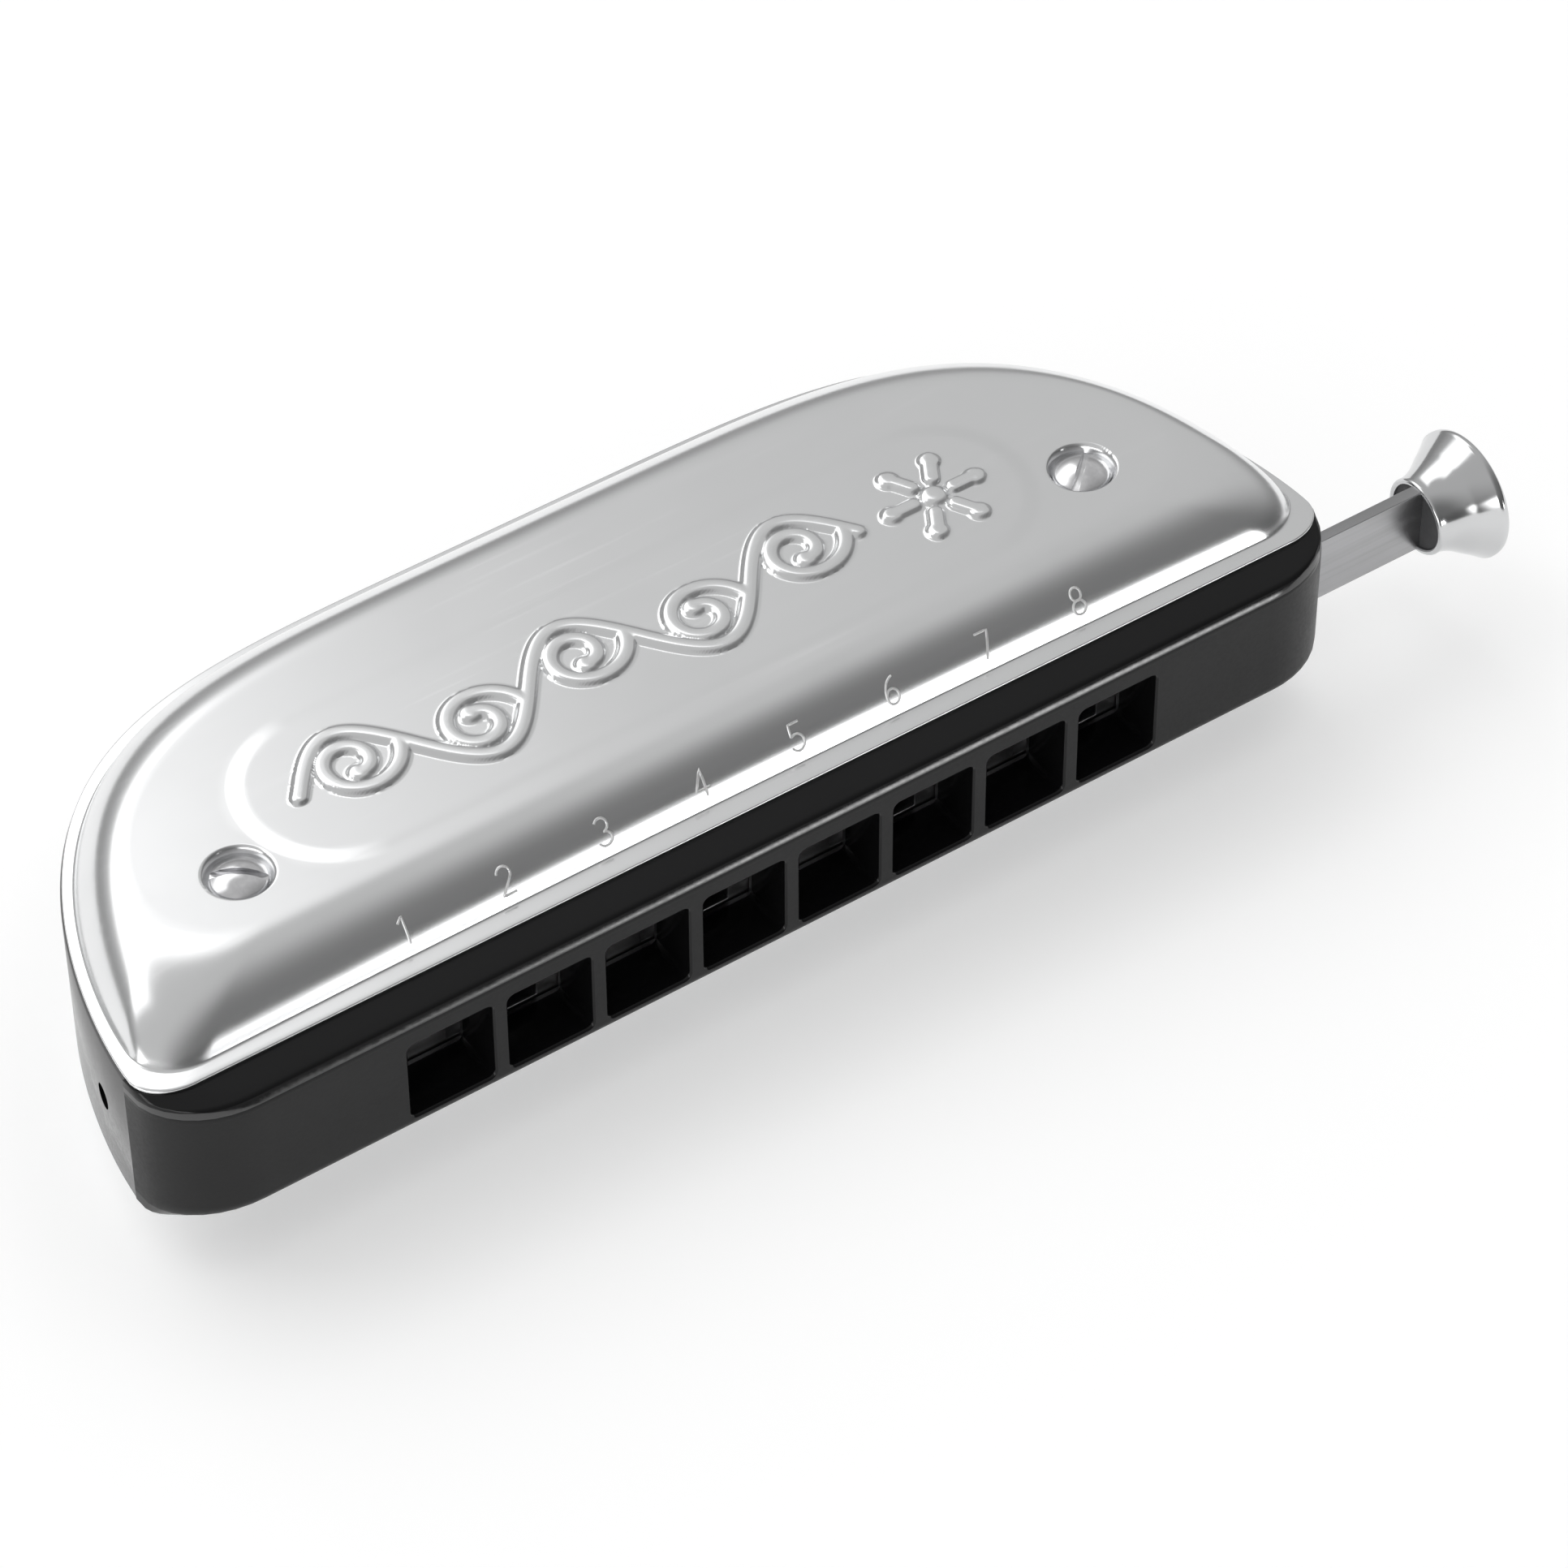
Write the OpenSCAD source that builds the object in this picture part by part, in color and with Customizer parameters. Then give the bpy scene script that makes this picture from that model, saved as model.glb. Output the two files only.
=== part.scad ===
// Chromatic harmonica with eight holes. A sprung slide with a push button
// switches each mouth hole between the upper and the lower reed plate.
// The mouth face looks towards -Y, the button towards +X, and the part
// rests on the raised panel of its bottom cover at Z = 0.

/* [Body] */
// Half of the length of the cover outline
body_half_len = 61.6; // [61:0.1:63]
// Depth of the curved rear of the cover outline behind its widest line
rear_depth = 38.8; // [37.5:0.1:40]
// Y of the line where the outline is widest
widest_y = -17; // [-17.2:0.1:-16.8]
// How square the ends of the outline are
end_power = 5; // [4.5:0.1:6]
// How square the rear of the outline is
rear_power = 1.55; // [1.5:0.05:1.7]
// Half of the thickness between the outer faces of the two cover flanges
half_core = 8.2; // [8:0.1:8.6]

/* [Covers] */
// Width of the flat flange around each cover
flange_w = 1.4; // [1.2:0.1:1.8]
// Sheet thickness of the covers
sheet = 0.6; // [0.5:0.05:0.8]
// Height of a cover above its flange, without the raised panel
cover_rise = 5.3; // [5:0.1:6]
// How far the raised panel stands proud of the cover
panel_rise = 0.3; // [0.2:0.05:0.5]
// Length of the raised panel
panel_len = 80; // [70:1:80]
// Width of the raised panel
panel_w = 17.4; // [15:0.1:18]
// Y of the centre line of the raised panel
panel_y = -1.8; // [-2.2:0.1:-1.4]

/* [Mouthpiece] */
// Number of mouth holes
hole_count = 8; // [8:1:8]
// Distance between neighbouring mouth holes
hole_pitch = 10; // [9.6:0.1:10]
// Width of a mouth hole
hole_w = 8.4; // [8:0.1:8.5]
// Height of a mouth hole
hole_h = 8.9; // [8.4:0.1:9]
// Y of the mouth face
mouth_y = -24; // [-25:0.1:-23.5]
// Y of the seam between the mouthpiece and the comb
seam_y = -16.3; // [-16.3:0.1:-16]

/* [Slide] */
// Travel of the slide when the button is pressed
slide_travel = 5; // [4:0.1:5]
// Thickness of the slide strip
slide_t = 1.2; // [1:0.1:1.2]
// Height of the slide between its guides
slide_h = 10.4; // [10:0.1:10.5]
// Height of the bar that carries the button
bar_h = 7.2; // [6:0.1:7.4]
// Diameter of the flared button rim
button_d = 12.8; // [10:0.1:13]

/* [Hidden] */
$fn = 48;

// Cutters reach this far past the part, or just past the face they cut
far = 80;
over = 1;

// Heights
mid_z = half_core + cover_rise + panel_rise;
comb_half = half_core - sheet;
corner_depth = 3.4;
front_y = widest_y - corner_depth;
corner_w = 4.5;
min_corner = 2.4;
corner_steps = 5;
end_crowding = 1.3;
cover_steps = 16;
face_steps = 10;
dome_steps = 4;

// Mouthpiece section, measured from the middle plane
face_top = 6.9;
face_bottom = -6;
face_corner_w = 8.5;
end_proud = 0.2;

// Hole row, slide and windows, all centred a little below the middle plane
row_x = 0.4;
row_z = mid_z - 0.4;
first_x = row_x - (hole_count - 1) * hole_pitch / 2;
window_w = 4.2;
window_h = 3.8;
window_rib = 1;
window_dz = (window_h + window_rib) / 2;
slide_y = -17.5;
slide_gap = 0.2;
plate_t = 0.4;
end_gap = 0.6;
side_gap = 0.3;
slide_left = -45;
slide_right = 55.2;
stop_x = 56.5;
pocket_front = slide_y - slide_t / 2 - slide_gap - plate_t;
pocket_left = slide_left - slide_travel - end_gap;
pocket_half_h = slide_h / 2 + side_gap;
bumper_t = 1;
bumper_gap = 0.1;
guide_left = slide_left + end_gap;
guide_right = stop_x - bumper_t - slide_gap;

// Button, turned about the slide's axis
button_x = 74.1;
button_len = 6.4;
neck_r = 3.85;
neck_bevel = 0.3;
waist_in = 0.1;
flare_power = 1.5;
flare_steps = 8;
rim_back = 0.9;
rim_w_x = 0.4;
rim_round = 0.5;
cap_rise = 0.6;
cap_shoulder = 0.5;
socket_depth = 3;
bar_end = button_x + socket_depth;

// Return spring
spring_left = -57.5;
spring_r = 1.45;
wire_r = 0.22;
spring_turns = 7;
spring_bore_r = 1.9;
pin_r = 0.9;
pin_len = 5;
pin_root = 2;

// Reeds, plates and cells
recess_half = 6;
reed_plate_t = 0.9;
reed_plate_gap = 0.15;
rim_w = 2.2;
plate_front = -14.6;
web_half = 0.6;
channel_top = 4.6;
cell_w = 3.6;
cell_dx = 2.3;
cell_front = -13.5;
longest_cell = 27;
cell_step = 1.5;
reed_w = 2.2;
reed_t = 0.25;
reed_inset = 0.6;
foot_len = 3;
foot_margin = 0.15;
slot_w = 2.4;
slot_foot_end = 3.8;
slot_tip_end = 0.8;
rivet_r = 0.7;
rivet_h = 0.3;
rivet_in = reed_inset + foot_len / 2;
valve_t = 0.12;
valve_margin = 0.2;
valve_root = 3;
valve_tip = 0.4;

// Fasteners
screw_x = 44.05;
screw_y = -6.1;
screw_head_r = 2.5;
screw_head_h = 1.3;
shank_r = 1.2;
sleeve_r = 1.9;
bore_gap = 0.1;
thread_gap = 0.05;
nut_end = 0.5;
head_slot_w = 0.7;
head_slot_depth = 0.7;
head_slot_turn = 38;
nut_slot_turn = 20;
dimple_r = 3.5;
dimple_depth = 1.4;
dimple_lip = 0.1;
seat_half = half_core + cover_rise - dimple_depth;

// Cover section: the wall leans back from upright and runs into the shoulder
wall_lean = 65;
wall_w = 0.5;
wall_h = 0.9;
wall_foot = 0.1;
sink = 0.02;
shoulder_r = (cover_rise - wall_h) / (1 - cos(wall_lean));
panel_base = 3;

// Sound slots in the rear wall of each cover
sound_slots_a_side = 2;
sound_pitch = 14;
sound_half_len = 5;
sound_front = 14;
sound_rear = 24;
sound_low = 0.9;
sound_high = 2.5;

// Reed plate screws
plate_screw_at = [[-52, -11], [52, -11], [-46, 5], [46, 5]];
plate_screw_r = 0.9;
plate_head_r = 1.9;
plate_head_top_r = 1.5;
plate_head_h = 0.8;
plate_slot_w = 0.4;
plate_slot_depth = 0.4;
thread_len = 3;

// Blind hole in the comb's end wall, on the side away from the button
end_hole_y = -10.5;
end_hole_r = 1.2;
end_hole_depth = 3;

// Colours
plastic = [0.12, 0.12, 0.13];
chrome = [0.82, 0.83, 0.84];
brass = [0.78, 0.62, 0.32];
steel = [0.66, 0.67, 0.68];
rubber = [0.18, 0.18, 0.18];
film = [0.86, 0.87, 0.85];

// ---- outlines ---------------------------------------------------------

// Right half of the plan from the front centre round the end to the rear.
// Far inside the edge the widest line moves back, so that the corner stays round.
function half_outline(in_w, front, corner_x, steps) = let (
    a = body_half_len - in_w,
    wide_y = max(widest_y, front + min_corner),
    b = widest_y + rear_depth - in_w - wide_y,
    bend = max(corner_x - in_w, min_corner),
    bend_y = wide_y - front
) concat(
    [for (i = [0 : corner_steps]) let (t = 90 * i / corner_steps)
        [a - bend + bend * sin(t), wide_y - bend_y * cos(t)]],
    [for (i = [0 : steps - 1]) let (t = 90 * pow(i / steps, end_crowding))
        [a * pow(cos(t), 2 / end_power), wide_y + b * pow(sin(t), 2 / rear_power)]],
    [[0, wide_y + b]]
);

function mirrored(half) = concat(
    half,
    [for (i = [len(half) - 2 : -1 : 0]) [-half[i][0], half[i][1]]]
);

function cover_outline(in_w) =
    mirrored(half_outline(in_w, front_y + in_w, corner_w, cover_steps));

function face_outline(front, corner_x) =
    mirrored(half_outline(-end_proud, front, corner_x, face_steps));

function hole_x(i) = first_x + i * hole_pitch;
function cell_len(i) = longest_cell - cell_step * i;
function is_odd_hole(i) = i % 2 == 0;

// ---- placing helpers ----------------------------------------------------

// Children are drawn for the upper half and, with side -1, mirrored below.
module on_side(side) {
    translate([0, 0, mid_z])
        mirror([0, 0, side > 0 ? 0 : 1])
            children();
}

module slab(points, low, high) {
    translate([0, 0, low])
        linear_extrude(high - low)
            polygon(points);
}

module box(low, high) {
    translate(low)
        cube(high - low);
}

module at_screws() {
    for (x = [-screw_x, screw_x])
        translate([x, screw_y, 0])
            children();
}

module at_plate_screws() {
    for (p = plate_screw_at)
        translate([p[0], p[1], 0])
            children();
}

// ---- covers ---------------------------------------------------------------

// Convex body of a cover: a short steep wall, then a round shoulder.
module cover_dome(in_w, drop) {
    hull() {
        slab(cover_outline(flange_w + in_w), comb_half - sink, half_core + wall_foot - drop);
        for (i = [0 : dome_steps]) {
            lean = wall_lean * (1 - i / dome_steps);
            rise = wall_h + shoulder_r * (cos(lean) - cos(wall_lean));
            step_in = wall_w + shoulder_r * (sin(wall_lean) - sin(lean));
            slab(cover_outline(flange_w + in_w + step_in), half_core, half_core + rise - drop);
        }
    }
}

module raised_panel(base, top) {
    for (x = [-1, 1])
        translate([x * (panel_len - panel_w) / 2, panel_y, base])
            cylinder(r = panel_w / 2, h = top - base);
    box([-(panel_len - panel_w) / 2, panel_y - panel_w / 2, base],
        [(panel_len - panel_w) / 2, panel_y + panel_w / 2, top]);
}

// Long sound slots in the rear wall, one row per cover.
module sound_slots() {
    for (i = [-sound_slots_a_side : sound_slots_a_side])
        box([i * sound_pitch - sound_half_len, sound_front, half_core + sound_low],
            [i * sound_pitch + sound_half_len, sound_rear, half_core + sound_high]);
}

module cover(side) {
    on_side(side) {
        difference() {
            union() {
                slab(cover_outline(0), comb_half, half_core);
                cover_dome(0, 0);
                raised_panel(half_core + panel_base, half_core + cover_rise + panel_rise);
            }
            cover_dome(sheet, sheet);
            at_screws()
                translate([0, 0, comb_half])
                    cylinder(r = dimple_r, h = far);
            sound_slots();
        }
        at_screws()
            difference() {
                translate([0, 0, seat_half - sheet])
                    cylinder(r = dimple_r + sheet, h = dimple_depth + sheet - dimple_lip);
                translate([0, 0, seat_half])
                    cylinder(r = dimple_r, h = dimple_depth + over);
                translate([0, 0, half_core])
                    cylinder(r = (side > 0 ? shank_r : sleeve_r) + bore_gap, h = cover_rise);
            }
    }
}

module top_cover() {
    color(chrome) cover(1);
}

module bottom_cover() {
    color(chrome) cover(-1);
}

// ---- comb -----------------------------------------------------------------

// One upper cell group: a channel behind the slide window and two reed cells.
module cell_group(i) {
    box([hole_x(i) - window_w / 2, seam_y - over, web_half],
        [hole_x(i) + window_w / 2, cell_front + over, channel_top]);
    for (s = [-1, 1])
        box([hole_x(i) + s * cell_dx - cell_w / 2, cell_front, web_half],
            [hole_x(i) + s * cell_dx + cell_w / 2, cell_front + cell_len(i), comb_half + over]);
}

module comb_hollows() {
    intersection() {
        slab(cover_outline(rim_w), recess_half, comb_half + over);
        box([-far, plate_front, 0], [far, far, far]);
    }
    for (i = [0 : hole_count - 1])
        cell_group(i);
}

module comb() {
    color(plastic)
        difference() {
            slab(cover_outline(-end_proud), mid_z - comb_half, mid_z + comb_half);
            box([-far, -far, 0], [far, seam_y, far]);
            on_side(1) comb_hollows();
            on_side(-1) comb_hollows();
            at_screws()
                cylinder(r = sleeve_r + bore_gap, h = far);
            spring_bore();
            for (side = [-1, 1])
                on_side(side)
                    at_plate_screws()
                        translate([0, 0, recess_half - thread_len])
                            cylinder(r = plate_screw_r, h = thread_len + over);
            translate([-body_half_len - over, end_hole_y, row_z])
                rotate([0, 90, 0])
                    cylinder(r = end_hole_r, h = end_hole_depth + over);
        }
}

// ---- mouthpiece -------------------------------------------------------------

module mouthpiece_block() {
    hull() {
        slab(face_outline(mouth_y, face_corner_w), mid_z + face_bottom, mid_z + face_top);
        slab(face_outline(front_y, corner_w), mid_z - comb_half, mid_z + comb_half);
    }
}

module mouth_holes(low_y, high_y) {
    for (i = [0 : hole_count - 1])
        box([hole_x(i) - hole_w / 2, low_y, row_z - hole_h / 2],
            [hole_x(i) + hole_w / 2, high_y, row_z + hole_h / 2]);
}

// Round bore of the return spring; it breaks through the seam into the comb.
module spring_bore() {
    translate([spring_left, slide_y, row_z])
        rotate([0, 90, 0])
            cylinder(r = spring_bore_r, h = slide_left - spring_left);
}

// Clearance for the slide's bar, cut along X.
module bar_slot(left, right) {
    box([left, slide_y - slide_t / 2 - slide_gap, row_z - bar_h / 2 - slide_gap],
        [right, slide_y + slide_t / 2 + slide_gap, row_z + bar_h / 2 + slide_gap]);
}

module slide_pocket() {
    box([pocket_left, pocket_front, row_z - pocket_half_h],
        [stop_x, seam_y + over, row_z + pocket_half_h]);
    bar_slot(stop_x - over, far);
    spring_bore();
}

module mouthpiece() {
    color(plastic)
        difference() {
            mouthpiece_block();
            box([-far, seam_y, 0], [far, far, far]);
            mouth_holes(-far, seam_y);
            slide_pocket();
            translate([spring_left - pin_root, slide_y, row_z])
                rotate([0, 90, 0])
                    cylinder(r = pin_r, h = pin_root + over);
        }
}

// ---- slide group --------------------------------------------------------------

// Metal lattice with one opening per mouth hole, in front of the slide.
module slide_front_plate() {
    color(steel)
        difference() {
            box([guide_left, pocket_front, row_z - slide_h / 2],
                [guide_right, pocket_front + plate_t, row_z + slide_h / 2]);
            mouth_holes(pocket_front - over, pocket_front + over);
        }
}

module window_pair_row(i, dz) {
    box([hole_x(i) - window_w / 2, -far, row_z + dz - window_h / 2],
        [hole_x(i) + window_w / 2, 0, row_z + dz + window_h / 2]);
}

// Fixed plate against the comb, with both windows of every hole open.
module slide_back_plate() {
    color(steel)
        difference() {
            box([guide_left, seam_y - plate_t, row_z - slide_h / 2],
                [guide_right, seam_y, row_z + slide_h / 2]);
            for (i = [0 : hole_count - 1]) {
                window_pair_row(i, window_dz);
                window_pair_row(i, -window_dz);
            }
        }
}

// Windows are staggered: at rest every second hole opens to the upper cells,
// the others to the lower cells, and a press swaps them all.
module slide() {
    color(steel)
        difference() {
            union() {
                box([slide_left, slide_y - slide_t / 2, row_z - slide_h / 2],
                    [slide_right, slide_y + slide_t / 2, row_z + slide_h / 2]);
                box([slide_right - over, slide_y - slide_t / 2, row_z - bar_h / 2],
                    [bar_end, slide_y + slide_t / 2, row_z + bar_h / 2]);
            }
            for (i = [0 : hole_count - 1]) {
                open_dz = is_odd_hole(i) ? window_dz : -window_dz;
                window_pair_row(i, open_dz);
                translate([slide_travel, 0, 0]) window_pair_row(i, -open_dz);
            }
        }
}

// Point on the button's flare, u from 0 at the neck to 1 at the rim.
function flare_point(u) = [
    neck_r - waist_in * sin(180 * u) + (button_d / 2 - neck_r) * pow(u, flare_power),
    neck_bevel + (button_len - rim_back - neck_bevel) * u
];

// Trumpet-shaped button, turned about the axis of the slide bar.
module slide_button() {
    color(chrome)
        difference() {
            translate([button_x, slide_y, row_z])
                rotate([0, 90, 0])
                    rotate_extrude()
                        polygon(concat(
                            [[0, 0], [neck_r - neck_bevel, 0], [neck_r, neck_bevel]],
                            [for (i = [1 : flare_steps]) flare_point(i / flare_steps)],
                            [[button_d / 2, button_len - rim_back + rim_w_x],
                             [button_d / 2 - rim_round, button_len - rim_back + 2 * rim_w_x],
                             [button_d / 4, button_len + cap_shoulder], [0, button_len + cap_rise]]
                        ));
            box([button_x - over, slide_y - slide_t / 2, row_z - bar_h / 2],
                [bar_end, slide_y + slide_t / 2, row_z + bar_h / 2]);
        }
}

// Point on the spring's wire centre line, u from 0 to 1 along its length.
function coil_point(u, length) = let (turn = 360 * spring_turns * u)
    [wire_r + (length - 2 * wire_r) * u, spring_r * cos(turn), spring_r * sin(turn)];

function coil_ring(u, length, sides) = let (turn = 360 * spring_turns * u)
    [for (k = [0 : sides - 1]) let (a = 360 * k / sides)
        coil_point(u, length) + wire_r * [sin(a), cos(a) * cos(turn), cos(a) * sin(turn)]];

module slide_spring() {
    rings = 12 * spring_turns;
    sides = 6;
    length = slide_left - spring_left;
    points = [for (r = [0 : rings]) each coil_ring(r / rings, length, sides)];
    faces = concat(
        [[for (k = [0 : sides - 1]) k]],
        [for (r = [0 : rings - 1], k = [0 : sides - 1]) let (n = (k + 1) % sides)
            [r * sides + k, (r + 1) * sides + k, (r + 1) * sides + n, r * sides + n]],
        [[for (k = [sides - 1 : -1 : 0]) rings * sides + k]]
    );
    color(steel)
        translate([spring_left, slide_y, row_z])
            polyhedron(points, faces, 4);
}

module spring_guide_pin() {
    color(steel)
        translate([spring_left - pin_root, slide_y, row_z])
            rotate([0, 90, 0])
                cylinder(r = pin_r, h = pin_root + pin_len);
}

module slide_stop_bumper() {
    color(rubber)
        difference() {
            box([stop_x - bumper_t, pocket_front + bumper_gap, row_z - slide_h / 2],
                [stop_x, seam_y - bumper_gap, row_z + slide_h / 2]);
            bar_slot(0, far);
        }
}

// ---- reeds and plates ------------------------------------------------------------

module each_reed(blow) {
    for (i = [0 : hole_count - 1])
        translate([hole_x(i) + (blow ? -cell_dx : cell_dx), cell_front, 0])
            reed(cell_len(i), blow);
}

// A reed lies over its slot, riveted at one end; blow reeds lie inside.
module reed(length, blow) {
    z = blow ? recess_half - reed_t : recess_half + reed_plate_t;
    foot = blow ? reed_inset : length - reed_inset - foot_len;
    box([-reed_w / 2, reed_inset, z], [reed_w / 2, length - reed_inset, z + reed_t]);
    box([-reed_w / 2 - foot_margin, foot, z], [reed_w / 2 + foot_margin, foot + foot_len, z + reed_t]);
}

// Slot under one reed's free part; side is -1 for blow and 1 for draw reeds.
module reed_slot(i, side) {
    near = side < 0 ? slot_foot_end : slot_tip_end;
    away = side < 0 ? slot_tip_end : slot_foot_end;
    translate([hole_x(i) + side * cell_dx, cell_front, 0])
        box([-slot_w / 2, near, 0], [slot_w / 2, cell_len(i) - away, far]);
}

module reed_plate(side) {
    color(brass)
        on_side(side)
            difference() {
                intersection() {
                    slab(cover_outline(rim_w + reed_plate_gap), recess_half, recess_half + reed_plate_t);
                    box([-far, plate_front + reed_plate_gap, 0], [far, far, far]);
                }
                for (i = [0 : hole_count - 1], s = [-1, 1])
                    reed_slot(i, s);
                at_screws()
                    cylinder(r = sleeve_r + bore_gap, h = far);
                at_plate_screws()
                    cylinder(r = plate_screw_r, h = far);
            }
}

module upper_reed_plate() { reed_plate(1); }
module lower_reed_plate() { reed_plate(-1); }

module upper_blow_reeds() { color(brass) on_side(1) each_reed(true); }
module upper_draw_reeds() { color(brass) on_side(1) each_reed(false); }
module lower_blow_reeds() { color(brass) on_side(-1) each_reed(true); }
module lower_draw_reeds() { color(brass) on_side(-1) each_reed(false); }

// Rivets stand on the reed's foot, on the face away from the plate.
module reed_rivets(side) {
    color(brass)
        on_side(side)
            for (i = [0 : hole_count - 1]) {
                translate([hole_x(i) - cell_dx, cell_front + rivet_in, recess_half - reed_t - rivet_h])
                    cylinder(r = rivet_r, h = rivet_h);
                translate([hole_x(i) + cell_dx, cell_front + cell_len(i) - rivet_in,
                           recess_half + reed_plate_t + reed_t])
                    cylinder(r = rivet_r, h = rivet_h);
            }
}

module upper_reed_rivets() { reed_rivets(1); }
module lower_reed_rivets() { reed_rivets(-1); }

// Thin film valves close the slot on the side opposite to its reed.
module windsavers(side) {
    color(film)
        on_side(side)
            for (i = [0 : hole_count - 1]) {
                translate([hole_x(i) - cell_dx, cell_front, recess_half + reed_plate_t])
                    box([-slot_w / 2 - valve_margin, valve_root, 0],
                        [slot_w / 2 + valve_margin, cell_len(i) - valve_tip, valve_t]);
                translate([hole_x(i) + cell_dx, cell_front, recess_half - valve_t])
                    box([-slot_w / 2 - valve_margin, valve_tip, 0],
                        [slot_w / 2 + valve_margin, cell_len(i) - valve_root, valve_t]);
            }
}

module upper_windsavers() { windsavers(1); }
module lower_windsavers() { windsavers(-1); }

module plate_screws(side) {
    color(brass)
        on_side(side)
            at_plate_screws()
                translate([0, 0, recess_half + reed_plate_t])
                    difference() {
                        union() {
                            translate([0, 0, -reed_plate_t - thread_len])
                                cylinder(r = plate_screw_r, h = reed_plate_t + thread_len + sink);
                            cylinder(r1 = plate_head_r, r2 = plate_head_top_r, h = plate_head_h);
                        }
                        box([-far, -plate_slot_w / 2, plate_head_h - plate_slot_depth],
                            [far, plate_slot_w / 2, far]);
                    }
}

module upper_plate_screws() { plate_screws(1); }
module lower_plate_screws() { plate_screws(-1); }

// ---- cover fasteners -----------------------------------------------------------------

// Domed slotted head, drawn with its seat at z = 0.
module slotted_head(turn) {
    dome_r = (screw_head_r * screw_head_r + screw_head_h * screw_head_h) / (2 * screw_head_h);
    difference() {
        intersection() {
            cylinder(r = screw_head_r, h = screw_head_h + over);
            translate([0, 0, screw_head_h - dome_r])
                sphere(r = dome_r);
        }
        rotate([0, 0, turn])
            box([-far, -head_slot_w / 2, screw_head_h - head_slot_depth], [far, head_slot_w / 2, far]);
    }
}

module cover_screws() {
    color(steel)
        for (s = [-1, 1])
            translate([s * screw_x, screw_y, 0]) {
                translate([0, 0, mid_z + seat_half])
                    slotted_head(s * head_slot_turn);
                translate([0, 0, mid_z - half_core])
                    cylinder(r = shank_r, h = half_core + seat_half + sink);
            }
}

module cover_sleeve_nuts() {
    color(steel)
        for (s = [-1, 1])
            translate([s * screw_x, screw_y, 0])
                difference() {
                    union() {
                        translate([0, 0, mid_z - seat_half])
                            mirror([0, 0, 1])
                                slotted_head(nut_slot_turn);
                        translate([0, 0, mid_z - seat_half - sink])
                            cylinder(r = sleeve_r, h = seat_half - over);
                    }
                    translate([0, 0, mid_z - half_core - nut_end])
                        cylinder(r = shank_r + thread_gap, h = far);
                }
}

comb();
mouthpiece();
top_cover();
bottom_cover();
upper_reed_plate();
lower_reed_plate();
upper_blow_reeds();
upper_draw_reeds();
lower_blow_reeds();
lower_draw_reeds();
upper_reed_rivets();
lower_reed_rivets();
upper_windsavers();
lower_windsavers();
upper_plate_screws();
lower_plate_screws();
slide_front_plate();
slide_back_plate();
slide();
slide_button();
slide_spring();
spring_guide_pin();
slide_stop_bumper();
cover_screws();
cover_sleeve_nuts();
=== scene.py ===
from math import asin, atan2, cos, degrees, hypot, pi, radians, sin

import bmesh
import bpy
import numpy as np
from mathutils import Matrix, Vector
from mathutils.kdtree import KDTree


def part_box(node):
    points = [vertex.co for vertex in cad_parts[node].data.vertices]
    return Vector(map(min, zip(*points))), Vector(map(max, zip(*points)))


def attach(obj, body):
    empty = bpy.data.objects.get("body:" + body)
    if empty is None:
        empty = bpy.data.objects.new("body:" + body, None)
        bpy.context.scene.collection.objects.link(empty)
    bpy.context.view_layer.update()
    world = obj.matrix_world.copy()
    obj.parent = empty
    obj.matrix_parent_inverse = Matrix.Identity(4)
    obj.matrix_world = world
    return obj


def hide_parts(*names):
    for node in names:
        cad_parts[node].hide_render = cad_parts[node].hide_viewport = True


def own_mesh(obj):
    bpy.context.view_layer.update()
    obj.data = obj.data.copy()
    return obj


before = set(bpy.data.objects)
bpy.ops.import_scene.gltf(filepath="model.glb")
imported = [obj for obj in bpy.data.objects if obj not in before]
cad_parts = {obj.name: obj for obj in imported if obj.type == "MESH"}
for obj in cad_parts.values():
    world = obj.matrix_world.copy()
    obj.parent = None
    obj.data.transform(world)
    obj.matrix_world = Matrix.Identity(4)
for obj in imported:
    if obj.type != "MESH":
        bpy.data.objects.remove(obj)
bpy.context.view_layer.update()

# Shapes are worked out in millimetres, in the frame's own axes, and stored in metres.
MM = 0.001
# Points nearer to each other than this, in metres, are one point.
MERGE = 1e-7


def box_mm(node):
    low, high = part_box(node)
    return Vector(low) / MM, Vector(high) / MM


# ---- sizes, from the frame where it holds them

cover_low, cover_high = box_mm("top_cover")
bottom_low = box_mm("bottom_cover")[0]
comb_high = box_mm("comb")[1]
mouth_low, mouth_high = box_mm("mouthpiece")
slide_low, slide_high = box_mm("slide")
button_low, button_high = box_mm("slide_button")
screw_low, screw_high = box_mm("cover_screws")
nut_low, nut_high = box_mm("cover_sleeve_nuts")
spring_low, spring_high = box_mm("slide_spring")
plate_low = box_mm("slide_front_plate")[0]

MID_Z = (cover_high.z + bottom_low.z) / 2
HALF_LEN = cover_high.x
FRONT_Y = cover_low.y
REAR_Y = cover_high.y
SHEET = 0.6
FLANGE_Z = cover_low.z + SHEET
COMB_HALF = comb_high.z - MID_Z
END_PROUD = comb_high.x - HALF_LEN
MOUTH_Y = mouth_low.y
SEAM_Y = mouth_high.y

# Cover outline: a straight front with a round corner at each end, then a squarish end and a round rear
WIDEST_Y = -17.0
CORNER_W = 4.5
MIN_CORNER = 2.4
CORNER_GROWTH = 0.45
FACE_CORNER_W = 8.5
END_POWER = 5.0
REAR_POWER = 1.55

# Points round each outline
TOP_POINTS = 520
BOTTOM_POINTS = 300
BODY_POINTS = 420
RECESS_POINTS = 160

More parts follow.
